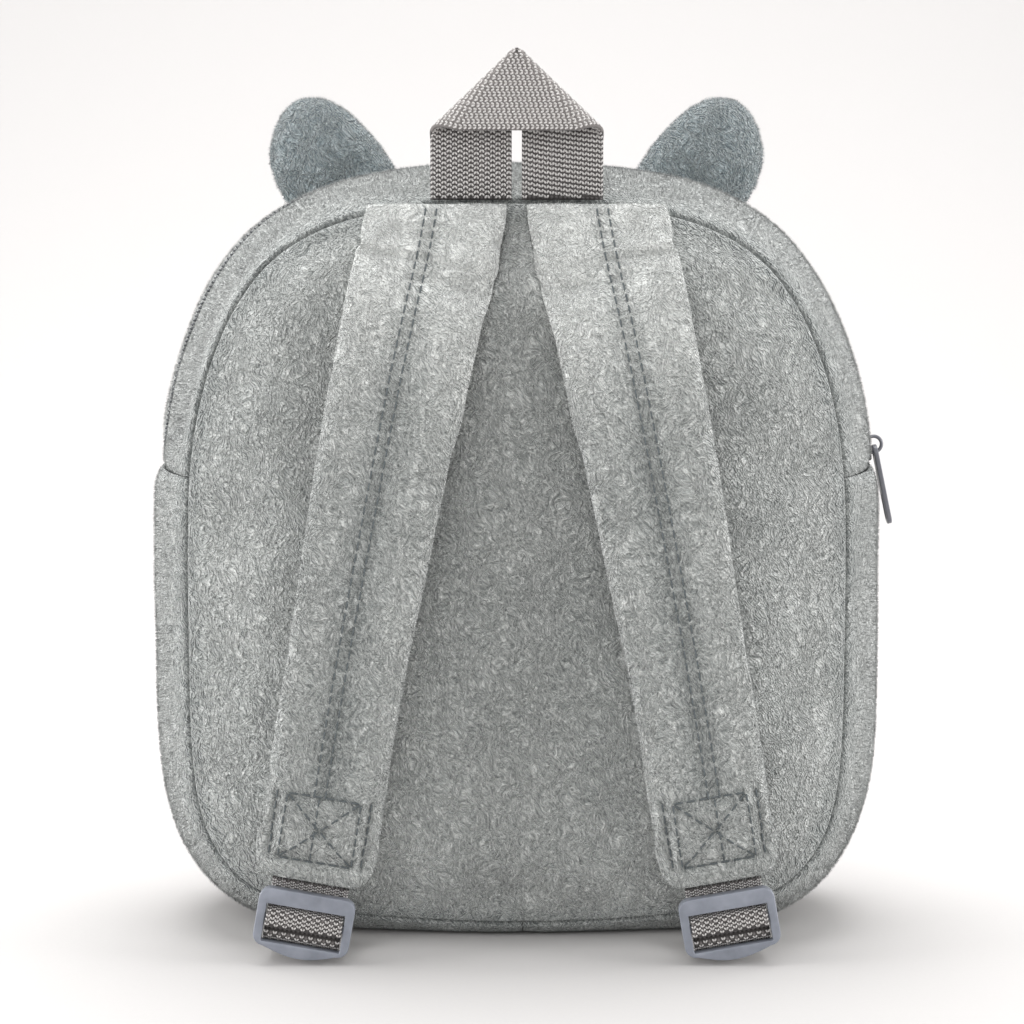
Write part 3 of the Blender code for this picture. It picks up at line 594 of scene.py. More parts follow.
seamPath = curveThrough(halfOutline + [Vector((-p.x, 0, p.z)) for p in halfOutline[-2:0:-1]], True, 24)
seamPath.append(seamPath[0].copy())
seamXZ = np.array([(p.x, p.z) for p in seamPath])
seamRun = lengthsAlong(seamXZ)
seamTotal = seamRun[-1]
halfDepth = bagSize["depth"] / 2
bagMiddle = Vector((0.0, 0.0, 0.12))


def seamAt(run):
    # point and outward normal, as (x, z) rows, at lengths from the bottom centre round by +X
    def place(at):
        at = np.mod(at, seamTotal)
        return np.stack([np.interp(at, seamRun, seamXZ[:, 0]), np.interp(at, seamRun, seamXZ[:, 1])], -1)
    along = place(run + 0.0025) - place(run - 0.0025)
    along /= np.linalg.norm(along, axis=-1, keepdims=True)
    return place(run), np.stack([along[..., 1], -along[..., 0]], -1)


def runAtHeight(height):
    return float(seamRun[np.argmax(seamXZ[:, 1] >= height)])


def seamDip(near):
    # how far the crown falls towards a cross seam, at a distance from it
    return bagSize["crossDip"] * (1 - np.clip(near / bagSize["crossReach"], 0, 1)) ** 2


def onFloor(z):
    # cloth that would go under the floor lies flat on it
    soft = bagSize["seamRadius"]
    return np.where(z <= -soft, 0.0, np.where(z < soft, (z + soft) ** 2 / (4 * soft), z))


bendReach = bagSize["foldRadius"] + bagSize["gap"] / 2
inHalf = math.sqrt(0.5)
# rows of (outward, forward) from the seam, where panel and gusset turn in
panelBend = arc((-(bagSize["foldRadius"] + bendReach) * inHalf,
                 (bagSize["foldRadius"] - bendReach) * inHalf), bagSize["foldRadius"], 45, -56, 6)
gussetBend = arc(((bendReach - bagSize["foldRadius"]) * inHalf,
                  (bagSize["foldRadius"] + bendReach) * inHalf), bagSize["foldRadius"], -135, -39, 6)


def gussetStand(bulge, forward):
    startOut, startForward = gussetBend[-1]
    half = halfDepth - startForward
    return startOut + (bulge - startOut) * (1 - np.abs((forward - halfDepth) / half) ** 2.2)


def zipTurn(run, forward):
    # the left run of the zip is rolled a little towards the wearer's side
    along = zipEnd - run
    left = smoothStep(along / 0.014) * (1 - smoothStep((along - 0.070) / 0.035))
    return gussetLook["zipRoll"] * left * math.sin(math.pi * (forward - halfDepth) / halfDepth)


def pucker(run, distance, seed):
    # cloth drawn in by the stitches: short folds square to the seam that fade away from it
    wander = np.array([noise.noise(Vector((r * 22, seed, 0))) for r in run])
    strength = 0.35 + 0.65 * np.abs(np.array([noise.noise(Vector((r * 30, 5.0, seed))) for r in run]))
    fold = np.sin(2 * math.pi * run / puckerLook["pitch"] + 5 * wander)
    fade = np.exp(-distance / puckerLook["fade"]) * smoothStep(distance / puckerLook["start"])
    return puckerLook["height"] * fold * strength * fade


# Front and back panels: two pillows, simulated as a stuffed cloth held along its seam

panelLook = {"spacing": 0.0052, "pressure": 2.4, "growth": 0.035, "cap": 0.006, "startRise": 0.75,
             "around": 300, "rings": 25, "lump": 0.0005, "lumpSize": 0.022, "pileRise": 0.006}
panelRimOut = panelBend[-1][0]
panelMiddle = np.array([0.0, bagSize["lift"] + bagSize["height"] / 2])


def panelRise(share):
    return bagSize["panelBulge"] * (0.6 * (1 - share ** 8) + 0.4 * (1 - share ** 2))


def ringShare(points):
    # how far out towards the seam a point (x, z) lies, 0 at the middle and 1 on the rim
    fromMiddle = points - panelMiddle
    angle = np.arctan2(fromMiddle[:, 0], -fromMiddle[:, 1])
    rimPoint, rimNormal = seamAt(seamRun[:-1])
    rim = rimPoint + rimNormal * panelRimOut - panelMiddle
    rimAngle = np.arctan2(rim[:, 0], -rim[:, 1])
    order = np.argsort(rimAngle)
    reach = np.interp(angle, rimAngle[order], np.linalg.norm(rim, axis=1)[order], period=2 * math.pi)
    return np.linalg.norm(fromMiddle, axis=1) / reach


def stuffedPanel():
    step = panelLook["spacing"]
    across = np.arange(-0.106, 0.1061, step)
    up = np.arange(0.0, 0.245, step)
    points = np.array([(x, z) for z in up for x in across])
    share = ringShare(points)
    faces = []
    for r in range(len(up) - 1):
        for c in range(len(across) - 1):
            a = r * len(across) + c
            quad = (a, a + 1, a + 1 + len(across), a + len(across))
            if np.mean([share[i] < 1.0 for i in quad]) >= 0.5:
                faces.append(quad)
    used = sorted({i for quad in faces for i in quad})
    edges = {}
    for quad in faces:
        for a, b in zip(quad, quad[1:] + quad[:1]):
            edges[(min(a, b), max(a, b))] = edges.get((min(a, b), max(a, b)), 0) + 1
    rimIds = {i for edge, times in edges.items() if times == 1 for i in edge}
    for i in used:
        if i in rimIds or share[i] > 0.985:
            points[i] = panelMiddle + (points[i] - panelMiddle) / share[i]
            share[i] = 1.0
    number = {old: new for new, old in enumerate(used)}
    rise = panelRise(share) * panelLook["startRise"]
    cloth = meshObject("panel_cloth", [(points[i][0], -rise[i], points[i][1]) for i in used],
                       [tuple(number[i] for i in quad) for quad in faces], None)
    faceAway(cloth, Vector((0, 1, 0.12)))
    inflate(cloth, [number[i] for i in used if share[i] >= 1.0], panelLook["pressure"], panelLook["cap"],
            panelLook["growth"])
    return shapeWith(cloth, "SUBSURF", {"levels": 1, "render_levels": 1})


panelCloth = stuffedPanel()
panelTree = BVHTree.FromPolygons([tuple(p) for p in pointsOf(panelCloth.data)],
                                 [tuple(f.vertices) for f in panelCloth.data.polygons])
bpy.data.objects.remove(panelCloth)
print("panel cloth settled")


def clothRise(x, z, share):
    hit = panelTree.ray_cast(Vector((x, -0.1, z)), Vector((0, 1, 0)))[0]
    return -hit.y if hit else float(panelRise(share)) * panelLook["startRise"]


def buildPanel(node, facing, pileCount, creases):
    around = panelLook["around"]
    shares = 1 - np.linspace(0, 1, panelLook["rings"] + 2)[1:-1] ** 1.25
    run = np.arange(around) * seamTotal / around
    point, normal = seamAt(run)
    rows = []
    for out, forward in panelBend:
        flat = point + normal * out
        rows.append(np.stack([flat[:, 0], np.full(around, facing * (halfDepth - forward)), flat[:, 1]], -1))
    rim = rows[-1]
    rimY = rim[0, 1]
    reach = np.linalg.norm(rim[:, [0, 2]] - panelMiddle, axis=1)
    for share in shares:
        flat = panelMiddle + (rim[:, [0, 2]] - panelMiddle) * share
        raw = np.array([clothRise(-facing * x, z, share) for x, z in flat])
        pillow = float(panelRise(share))
        rise = pillow + (raw - pillow) * smoothStep((1 - share) / 0.10)
        rise = rise + pucker(run, reach * (1 - share), 3.0 + facing)
        rows.append(np.stack([flat[:, 0], rimY + facing * rise, flat[:, 1]], -1))
    hub = np.array([[panelMiddle[0], rimY + facing * clothRise(0, panelMiddle[1], 0), panelMiddle[1]]])
    points = np.concatenate(rows + [hub])
    for x, z, tilt, long, wide, deep in creases:
        dx = points[:, 0] - x
        dz = points[:, 2] - z
        alongIt = dx * math.cos(tilt) + dz * math.sin(tilt)
        acrossIt = -dx * math.sin(tilt) + dz * math.cos(tilt)
        points[:, 1] += facing * deep * np.exp(-(alongIt / long) ** 2 - (acrossIt / wide) ** 2)
    lumps = panelLook["lump"] * softNoise(points, panelLook["lumpSize"], 2 + facing)
    points[:, 1] += facing * lumps * (np.abs(points[:, 1]) > halfDepth - 0.0005)
    faces = gridFaces(len(rows), around, True)
    last = (len(rows) - 1) * around
    faces += [(last + i, last + (i + 1) % around, len(points) - 1) for i in range(around)]
    panel = meshObject(f"{node}_plush", points, faces, clothFinish)
    faceAway(panel, bagMiddle)
    # the pile is pulled down in the seam and stands up again beside it; the same share darkens the cloth in
    # the seam, painted shade
    inward = np.concatenate([np.zeros(around * len(panelBend)),
                             np.concatenate([reach * (1 - s) for s in shares]), [0.1]])
    growPile(panel, node, 0.1 + 0.9 * smoothStep(inward / panelLook["pileRise"]), pileCount)
    thicken(panel, bagSize["wall"])
    dress(panel, node)


# soft creases where straps, handle and base pull on a panel: middle (x, z), tilt, half length,
# half width, height
backCreases = [
    (0.070, 0.222, -0.25, 0.016, 0.0022, -0.0009), (0.073, 0.215, -0.18, 0.018, 0.0026, 0.0010),
    (0.076, 0.208, -0.12, 0.014, 0.0024, -0.0008), (-0.072, 0.221, 0.28, 0.014, 0.0024, -0.0008),
    (-0.076, 0.213, 0.20, 0.016, 0.0026, 0.0008), (0.092, 0.120, 1.45, 0.016, 0.0030, -0.0007),
    (-0.093, 0.090, 1.65, 0.018, 0.0030, -0.0007), (0.0, 0.017, 0.10, 0.020, 0.0032, -0.0008)]
frontCreases = [
    (0.060, 0.215, -0.30, 0.016, 0.0028, -0.0008), (-0.066, 0.205, 0.40, 0.018, 0.0028, -0.0009),
    (0.030, 0.022, 0.15, 0.022, 0.0030, -0.0008), (-0.085, 0.060, 1.2, 0.016, 0.0030, -0.0007)]
buildPanel("back_panel", -1, 110000, backCreases)
buildPanel("front_panel", 1, 80000, frontCreases)
print("panels sewn")


# Gusset: two base strips and two strips beside the zip, stretched round the bag

gussetLook = {"rowPitch": 0.0026, "acrossPitch": 0.0022, "wrinkle": 0.0006, "zipOpening": 0.0064,
              "zipRoll": 0.0030, "pileRise": 0.009}
zipStart = runAtHeight(bagSize["crossSeam"]) + bagSize["gap"] / 2
zipEnd = seamTotal - zipStart


def buildGusset(node, start, end, bulge, low, high, pileCount, seed):
    length = end - start
    steps = max(8, int(length / gussetLook["rowPitch"]))
    run = start + length * np.arange(steps + 1) / steps
    near = np.minimum(run - start, end - run)
    crown = bulge - seamDip(near)
    firstDepth = gussetBend[-1][1] if low is None else low
    lastDepth = bagSize["depth"] - gussetBend[-1][1] if high is None else high
    pieces = max(6, int((lastDepth - firstDepth) / gussetLook["acrossPitch"]))
    # rows across the strip: (outward, forward, distance from the nearest panel seam)
    rows = [(out, forward, 0.0) for out, forward in gussetBend[:-1]] if low is None else []
    for depth in np.linspace(firstDepth, lastDepth, pieces + 1):
        turn = 0.0 if low is None and high is None else zipTurn(run, depth)
        rows.append((gussetStand(crown, depth) + turn, depth,
                     min(depth if low is None else 1.0, bagSize["depth"] - depth if high is None else 1.0)))
    if high is None:
        rows += [(out, bagSize["depth"] - forward, 0.0) for out, forward in gussetBend[-2::-1]]
    point, normal = seamAt(run)
    grid = []
    for out, forward, away in rows:
        lumps = np.array([noise.noise(Vector((r / 0.030, forward / 0.024, seed))) for r in run])
        soft = gussetLook["wrinkle"] * lumps * smoothStep(away / 0.010)
        if 0 < away < 0.03:
            soft = soft + pucker(run, away, seed)
        flat = point + normal * (out + soft * smoothStep(near / 0.008))[:, None]
        grid.append(np.stack([flat[:, 0], np.full(len(run), forward - halfDepth), onFloor(flat[:, 1])], -1))
    grid = np.stack(grid, 1)
    points = grid.reshape(-1, 3)
    strip = meshObject(f"{node}_plush", points, gridFaces(len(run), grid.shape[1], False), clothFinish)
    faceAway(strip, bagMiddle)
    seamAway = np.array([away for out, forward, away in rows])
    # little pile stands in the seams, at the cross seams and near the floor, and the same share darkens the
    # cloth there: painted shade
    share = (0.1 + 0.9 * smoothStep(seamAway / gussetLook["pileRise"])) \
        * (0.25 + 0.75 * smoothStep(near / 0.004))[:, None]
    share = share.ravel()
    share *= smoothStep((points[:, 2] - 0.0016) / 0.0025)
    # the pull lies on the cloth here and presses the pile down; the same share darkens the cloth under it, a
    # painted shadow
    share *= np.where((points[:, 0] > 0.105) & (np.abs(points[:, 1]) < 0.0034)
                      & (np.abs(points[:, 2] - 0.146) < 0.018), 0.4, 1.0)
    growPile(strip, node, share, pileCount)
    thicken(strip, bagSize["wall"])
    dress(strip, node)


zipHalf = gussetLook["zipOpening"] / 2
crown, side = bagSize["crownBulge"], bagSize["sideBulge"]
baseStart = bagSize["baseShift"] + bagSize["gap"] / 2
for node, start, end, bulge, low, high, pileCount, seed in [
        ("gusset_zip_rear", zipStart, zipEnd, crown, None, halfDepth - zipHalf, 42000, 1.0),
        ("gusset_zip_front", zipStart, zipEnd, crown, halfDepth + zipHalf, None, 36000, 2.0),
        ("gusset_base_right", baseStart, zipStart - bagSize["gap"], side, None, None, 62000, 3.0),
        ("gusset_base_left", zipEnd + bagSize["gap"], seamTotal + baseStart - bagSize["gap"], side,
         None, None, 62000, 4.0)]:
    buildGusset(node, start, end, bulge, low, high, pileCount, seed)
print("gusset sewn")


# Zip: tape, coil, slider and pull

zipLook = {"tapeWidth": 0.022, "tapeWall": 0.0008, "tapeSeat": 0.0008, "coilPitch": 0.00135,
           "coilReach": 0.0022, "coilWire": 0.00082, "coilStand": 0.0004, "sliderRise": 0.0065,
           "bodyLength": 0.0105, "bodyWidth": 0.0056, "bodyStand": 0.0006, "bailRadius": 0.0026,
           "bailWire": 0.0012, "bailStand": 0.0019, "pullLength": 0.0270, "pullWidth": 0.0062,
           "pullThickness": 0.0016, "pullEye": 0.0028, "pullRim": 0.0011, "slotLength": 0.0085,
           "slotWidth": 0.0030, "pullLean": 12.0, "endGap": 0.0006, "bodyEdge": 0.0005,
           "pullEdge": 0.00035}


def crownPoints(run, depth, lift):
    point, normal = seamAt(run)
    crown = bagSize["crownBulge"] - seamDip(np.minimum(run - zipStart, zipEnd - run))
    flat = point + normal * (gussetStand(crown, depth) + zipTurn(run, depth) + lift)[:, None]
    return np.stack([flat[:, 0], np.full(len(run), depth - halfDepth), flat[:, 1]], -1), normal


def clothMap(thing, columns, alongValues, acrossValues):
    # UV map in millimetres for a grid cloth: V along it, U across it
    layer = thing.data.uv_layers.new(name="cloth")
    for loop in thing.data.loops:
        i = loop.vertex_index
        layer.data[loop.index].uv = (acrossValues[i % columns] * 1000, alongValues[i // columns] * 1000)


def buildTape():
    start = zipStart + zipLook["endGap"]
    end = zipEnd - zipLook["endGap"]
    columns = 13
    run = np.linspace(start, end, 150)
    depths = halfDepth + zipLook["tapeWidth"] * np.linspace(-0.5, 0.5, columns)
    below = -bagSize["wall"] - zipLook["tapeSeat"]
    grid = np.stack([crownPoints(run, d, below)[0] for d in depths], 1)
    faces = gridFaces(len(run), columns, False)
    tape = meshObject("zipper_tape_woven", grid.reshape(-1, 3), faces, tapeFinish)
    clothMap(tape, columns, run, depths)
    faceAway(tape, bagMiddle)
    thicken(tape, zipLook["tapeWall"])
    dress(tape, "zipper_tape")


def buildCoil():
    sliderTop = runAtHeight(bagSize["crossSeam"] + zipLook["sliderRise"]) + zipLook["bodyLength"] / 2
    start = sliderTop + bagSize["gap"] + zipLook["coilWire"] / 2
    end = zipEnd - zipLook["endGap"] - zipLook["coilWire"] / 2
    count = int((end - start) / zipLook["coilPitch"])
    tooth = yarnStamp("tooth", 7, [(0.05, 0.72), (0.14, 1.0), (0.86, 1.0), (0.95, 0.72)])
    places = []
    wire = zipLook["coilWire"]
    for side, shift in ((-1, 0.25), (1, 0.75)):
        run = start + (np.arange(count) + shift) * (end - start) / count
        middle = halfDepth + side * zipLook["coilReach"] * 0.42
        points, normal = crownPoints(run, middle, zipLook["coilStand"] - wire * 0.62)
        for point, n in zip(points, normal):
            up = Vector((n[0], 0, n[1]))
            along = Vector((0, side, 0.0)) + up * -0.12
            along.normalize()
            sideways = up.cross(along).normalized()
            places.append((Vector(point), sideways, along.cross(sideways), along,
                           (wire, wire * 1.25, zipLook["coilReach"] * 1.05)))
    coil = setStamps("zipper_coil", places, tooth, coilFinish)
    bpy.data.objects.remove(tooth)
    dress(coil, "zipper_teeth")


def sliderFrame():
    run = np.array([runAtHeight(bagSize["crossSeam"] + zipLook["sliderRise"])])
    point, normal = seamAt(run)
    outward = Vector((normal[0][0], 0, normal[0][1]))
    forward = Vector((0, 1, 0))
    along = -forward.cross(outward)
    crown = Vector((point[0][0], 0, point[0][1])) + outward * bagSize["crownBulge"]
    return crown, outward, along, forward


def joinMeshes(name, parts, material):
    bm = bmesh.new()
    for part in parts:
        bm.from_mesh(part.data)
        bpy.data.objects.remove(part)
    mesh = bpy.data.meshes.new(name)
    bm.to_mesh(mesh)
    bm.free()
    mesh.materials.clear()
    mesh.materials.append(material)
    mesh.shade_smooth()
    thing = bpy.data.objects.new(name, mesh)
    scene.collection.objects.link(thing)
    return thing


def plateFrom(name, outline, back, front, place):
    # plate from an outline (across, up), between two depths, set by a matrix
    count = len(outline)
    points = [place @ Vector((a, depth, b)) for depth in (back, front) for a, b in outline]
    faces = [tuple(range(count)), tuple(range(2 * count - 1, count - 1, -1))]
    faces += [(i, i + count, (i + 1) % count + count, (i + 1) % count) for i in range(count)]
    return evenNormals(meshObject(name, points, faces, None))


def carve(thing, other):
    shapeWith(thing, "BOOLEAN", {"operation": "DIFFERENCE", "solver": "EXACT", "object": other})
    bpy.data.objects.remove(other)


def smoothByAngle(thing, angle=35.0):
    thing.data.shade_smooth()
    thing.data.set_sharp_from_angle(angle=math.radians(angle))


def wireTube(name, path, side, radius, sides):
    points = []
    for i, here in enumerate(path):
        along = (path[min(i + 1, len(path) - 1)] - path[max(i - 1, 0)]).normalized()
        up = side.cross(along).normalized()
        points += [here + side * a + up * b for a, b in arc((0, 0), radius, 0, 360, sides)[:-1]]
    return evenNormals(meshObject(name, points, tubeFaces(len(path), sides), None))


def buildZipSlider():
    crown, outward, along, forward = sliderFrame()
    turn = Matrix((forward, -outward, along)).transposed().to_4x4()
    half = zipLook["bodyLength"] / 2
    wide = zipLook["bodyWidth"] / 2
    # shield outline: broad shoulders at the open end, narrower where the closed coil leaves
    outline = [(a * wide, -b * half) for a, b in [
        (0.55, -1.0), (0.85, -0.93), (0.98, -0.70), (1.0, -0.1), (0.93, 0.45), (0.80, 0.80), (0.55, 0.97),
        (0.0, 1.0)]]
    outline += [(-a, b) for a, b in outline[-2::-1]]
    under = bagSize["wall"] - bagSize["gap"]
    body = plateFrom("zipper_slider", outline, -zipLook["bodyStand"], under,
                     Matrix.Translation(crown) @ turn)
    bevelEdges(body, zipLook["bodyEdge"])
    pivot = crown + outward * zipLook["bailStand"]
    leg = zipLook["bailStand"] - zipLook["bodyStand"] + zipLook["bailWire"] / 2
    reach = zipLook["bailRadius"]
    arch = [pivot + along * a + outward * b
            for a, b in [(-reach, -leg)] + arc((0, 0), reach, 180, 0, 16) + [(reach, -leg)]]
    bail = wireTube("bail", arch, forward, zipLook["bailWire"] / 2, 12)
    slider = joinMeshes("zipper_slider_cast", [body, bail], zincFinish)
    smoothByAngle(slider)
    dress(slider, "zipper_slider")


def tabOutline(width, top, bottom, steps):
    half = width / 2
    return arc((0, -top - half), half, 0, 180, steps) + arc((0, half - bottom), half, 180, 360, steps)


def buildPull():
    crown, outward = sliderFrame()[:2]
    hinge = crown + outward * zipLook["bailStand"]
    lean = Matrix.Rotation(math.radians(-zipLook["pullLean"]), 4, "Y")
    place = Matrix.Translation(hinge) @ lean @ Matrix.Rotation(math.radians(90), 4, "Z")
    eyeTop = zipLook["bailRadius"] - zipLook["pullEye"] / 2 - zipLook["pullRim"]
    half = zipLook["pullThickness"] / 2
    tab = plateFrom("zipper_pull_cast", tabOutline(zipLook["pullWidth"], eyeTop, zipLook["pullLength"], 14),
                    -half, half, place)
    eye = arc((0, -zipLook["bailRadius"]), zipLook["pullEye"] / 2, 0, -360, 24)[:-1]
    carve(tab, plateFrom("eye", eye, -half * 3, half * 3, place))
    slotEnd = zipLook["pullLength"] - (zipLook["pullWidth"] - zipLook["slotWidth"]) / 2
    slot = tabOutline(zipLook["slotWidth"], slotEnd - zipLook["slotLength"], slotEnd, 9)
    carve(tab, plateFrom("slot", slot, -half * 3, half * 3, place))
    tab.data.materials.append(zincFinish)
    bevelEdges(tab, zipLook["pullEdge"])
    smoothByAngle(tab)
    dress(tab, "zipper_pull", "zip_pull")


buildTape()
buildCoil()
buildZipSlider()
buildPull()
print("zip fitted")


# Shoulder straps: padded, with two rows of topstitching and a box stitch at the end

strapLook = {"width": 0.0415, "thickness": 0.0075, "topSpread": 0.0250, "endSpread": 0.0640,
             "endHeight": 0.0265, "standOff": 0.0310, "levelShare": 0.12, "grooveShift": 0.0015,
             "grooveHalf": 0.00175, "grooveDepth": 0.0013, "pressure": 2.6, "cap": 0.0022,
             "startThin": 0.93, "stitchPitch": 0.0037, "stitchWidth": 0.00054,
             "boxHalf": 0.0115, "boxLow": 0.0065, "boxHigh": 0.0275, "boxEdge": 0.0030,
             "boxDepth": 0.0008, "lineWidth": 0.0010, "lump": 0.00045, "lumpSize": 0.012,
             "paleShare": 0.42, "rows": 64, "columns": 30}
# rows down a strap: share of the height, of the spread, of the stand off, of the width and of
# the thickness
strapRows = np.array([
    (0.000, 0.000, 0.200, 1.050, 0.480), (0.020, 0.014, 0.235, 1.070, 0.700),
    (0.070, 0.062, 0.350, 1.060, 0.920), (0.150, 0.160, 0.520, 1.040, 1.000),
    (0.250, 0.275, 0.680, 1.020, 1.000), (0.370, 0.400, 0.810, 1.000, 1.000),
    (0.500, 0.530, 0.900, 1.000, 1.000), (0.640, 0.670, 0.955, 0.985, 1.000),
    (0.780, 0.800, 0.985, 0.960, 1.000), (0.880, 0.890, 1.000, 0.940, 0.960),
    (0.945, 0.948, 1.000, 0.930, 0.860), (0.982, 0.983, 1.000, 0.870, 0.700),
    (1.000, 1.000, 1.000, 0.720, 0.440)])
strapTop = bagSize["lift"] + bagSize["height"] - bagSize["seamRadius"] / 2


def strapCentre(share):
    row = [np.interp(share, strapRows[:, 0], strapRows[:, k]) for k in range(5)]
    return Vector((strapLook["topSpread"] + (strapLook["endSpread"] - strapLook["topSpread"]) * row[1],
                   -halfDepth - strapLook["standOff"] * row[2],
                   strapTop + (strapLook["endHeight"] - strapTop) * row[0])), row


def strapFrame(share):
    here, row = strapCentre(share)
    along = (strapCentre(min(share + 0.03, 1.0))[0] - strapCentre(max(share - 0.03, 0.0))[0]).normalized()
    slope = Vector((along.x, 0, along.z)).normalized()
    across = Vector((-slope.z, 0, slope.x))
    level = max(0.0, 1 - share / strapLook["levelShare"])
    across = across.lerp(Vector((1, 0, 0)), level).normalized()
    outward = along.cross(across).normalized()
    if outward.y > 0:
        outward.negate()
    return here, across, outward, along, row[3] * strapLook["width"], row[4] * strapLook["thickness"]


def strapShares(count):
    # even lengths down the strap, closer together at both ends
    t = np.linspace(0, 1, count)
    return t - 0.242 * np.sin(2 * math.pi * t) / (2 * math.pi)


def doubleGrid(grid):
    # halves the spacing of a tube's grid (rows open, columns closed) with a smooth curve
    def between(values, axis, closed):
        if closed:
            before, after, far = [np.roll(values, step, axis) for step in (1, -1, -2)]
            middle = (9 * (values + after) - before - far) / 16
            return np.stack([values, middle], axis + 1).reshape(values.shape[0], -1, values.shape[2])
        padded = np.concatenate([2 * values[:1] - values[1:2], values, 2 * values[-1:] - values[-2:-1]])
        middle = (9 * (padded[1:-2] + padded[2:-1]) - padded[:-3] - padded[3:]) / 16
        woven = np.empty((values.shape[0] * 2 - 1,) + values.shape[1:])
        woven[0::2] = values
        woven[1::2] = middle
        return woven
    return between(between(grid, 0, False), 1, True)


def boxLines():
    low, high, box = strapLook["boxLow"], strapLook["boxHigh"], strapLook["boxHalf"]
    edge = box + strapLook["boxEdge"]
    return [((-box, low), (-box, high)), ((box, low), (box, high)), ((-box, low), (box, low)),
            ((-box, high), (box, high)), ((-box, low), (box, high)), ((-box, high), (box, low)),
            ((-edge, low), (-edge, high + 0.001)), ((edge, low), (edge, high + 0.001)),
            ((strapLook["grooveShift"], low), (strapLook["grooveShift"], high))]


def boxGroove(across, up):
    # how far the box stitch pulls the cloth in, at (across, distance up the strap)
    deep = np.zeros(len(across))
    for first, last in boxLines():
        ax, ay = first
        dx, dy = last[0] - ax, last[1] - ay
        t = np.clip(((across - ax) * dx + (up - ay) * dy) / (dx * dx + dy * dy), 0, 1)
        away = np.hypot(across - ax - dx * t, up - ay - dy * t)
        deep = np.maximum(deep, np.exp(-(away / strapLook["lineWidth"]) ** 2))
    return strapLook["boxDepth"] * deep


def grooveAt(across, share):
    # two sewn lines press the padding down, the cloth between them stays a little low
    middle = across - strapLook["grooveShift"]
    lines = sum(np.exp(-((middle - side * strapLook["grooveHalf"]) / strapLook["lineWidth"]) ** 2)
                for side in (-1, 1))
    saddle = 0.55 * np.exp(-(middle / 0.0036) ** 2)
    fade = smoothStep((1.0 - share) / 0.02)
    return strapLook["grooveDepth"] * np.maximum(lines * 0.75, saddle) * fade


strapSteps = np.linspace(1, 0, 400)
strapRun = lengthsAlong(np.array([strapCentre(s)[0] for s in strapSteps]))


def shareAtDistance(distance):
    # share of the strap at a distance measured up from its lower end
    return float(np.interp(distance, strapRun, strapSteps))


def buildStrap(node, side, pileCount):
    rowCount, columnCount = strapLook["rows"], strapLook["columns"]
    grid, aside = [], []
    for share in strapShares(rowCount):
        centre, across, outward, _, width, thick = strapFrame(share)
        ring, flat = [], []
        for c, s in arc((0, 0), 1.0, 0, 360, columnCount)[:-1]:
            a = math.copysign(abs(c) ** (2 / 6.5), c) * width / 2
            b = s * thick / 2 * strapLook["startThin"]
            ring.append(mirrored(centre + across * a + outward * b, side))
            flat.append((a, b, share))
        grid.append(ring)
        aside.append(flat)
    tube = meshObject(node, np.array(grid).reshape(-1, 3), tubeFaces(rowCount, columnCount), clothFinish)
    evenNormals(tube)
    count = rowCount * columnCount
    sewn = list(range(3 * columnCount)) + list(range(count - 4 * columnCount, count))
    inflate(tube, sewn, strapLook["pressure"], strapLook["cap"], 0.012)
    grid = doubleGrid(pointsOf(tube.data).reshape(rowCount, columnCount, 3))
    bpy.data.objects.remove(tube)
    aside = doubleGrid(np.array(aside))
    across, thickness, share = aside[:, :, 0], aside[:, :, 1], aside[:, :, 2]
    upStrap = np.interp(share, strapSteps[::-1], strapRun[::-1])
    push = np.maximum(grooveAt(across, share) * (share < shareAtDistance(strapLook["boxHigh"])),
                      np.array([boxGroove(*row) for row in zip(across, upStrap)]))
    face = smoothStep((thickness / strapLook["thickness"] * 2 - 0.15) / 0.4)
    push = push * face
    for r in range(len(grid)):
        out = mirrored(strapFrame(min(max(share[r, 0], 0.0), 1.0))[2], side)
        lumps = strapLook["lump"] * softNoise(grid[r], strapLook["lumpSize"], 4 + side) * face[r]
        grid[r] += np.array(out) * (lumps - push[r])[:, None]
    strap = meshObject(f"{node}_padded", grid.reshape(-1, 3), tubeFaces(*grid.shape[:2]), clothFinish)
    evenNormals(strap)
    # pile is flattened along the sewn lines and on the hidden side; the same share darkens the cloth there,
    # painted shade
    thin = 1 - 0.8 * np.clip(push / strapLook["boxDepth"], 0, 1)
    thin *= np.where(thickness < -0.001, 0.55, 1.0)
    # paler towards the top, as the photo shows the bend of the strap that catches the light
    growPile(strap, node, thin.ravel(), pileCount, paintedHighlight=1 - smoothStep(share.ravel() / strapLook["paleShare"]))
    dress(strap, node)
    return strap


def sewLine(surface, ends, places, side):
    # dashes from one (across, distance up the strap) to another, laid on the padded surface
    first, last = [np.array(e) for e in ends]
    length = np.linalg.norm(last - first)
    count = max(2, int(round(length / strapLook["stitchPitch"])))
    for k in range(count):
        spot = [first + (last - first) * t for t in ((k + 0.14) / count, (k + 0.86) / count)]
        hits = []
        for a, distance in spot:
            centre, across, outward = strapFrame(shareAtDistance(distance))[:3]
            start = mirrored(centre + across * a + outward * 0.012, side)
            hits.append(surface.ray_cast(start, mirrored(-outward, side))[:2])
        if hits[0][0] is None or hits[1][0] is None:
            continue
        middle = (hits[0][0] + hits[1][0]) / 2
        span = hits[1][0] - hits[0][0]
        along = span.normalized()
        normal = (hits[0][1] + hits[1][1]).normalized()
        sideways = normal.cross(along).normalized()
        up = along.cross(sideways)
        places.append((middle + up * strapLook["stitchWidth"] * 0.6, sideways, up, along,
                       (strapLook["stitchWidth"] * 1.15, strapLook["stitchWidth"], span.length * 1.05)))


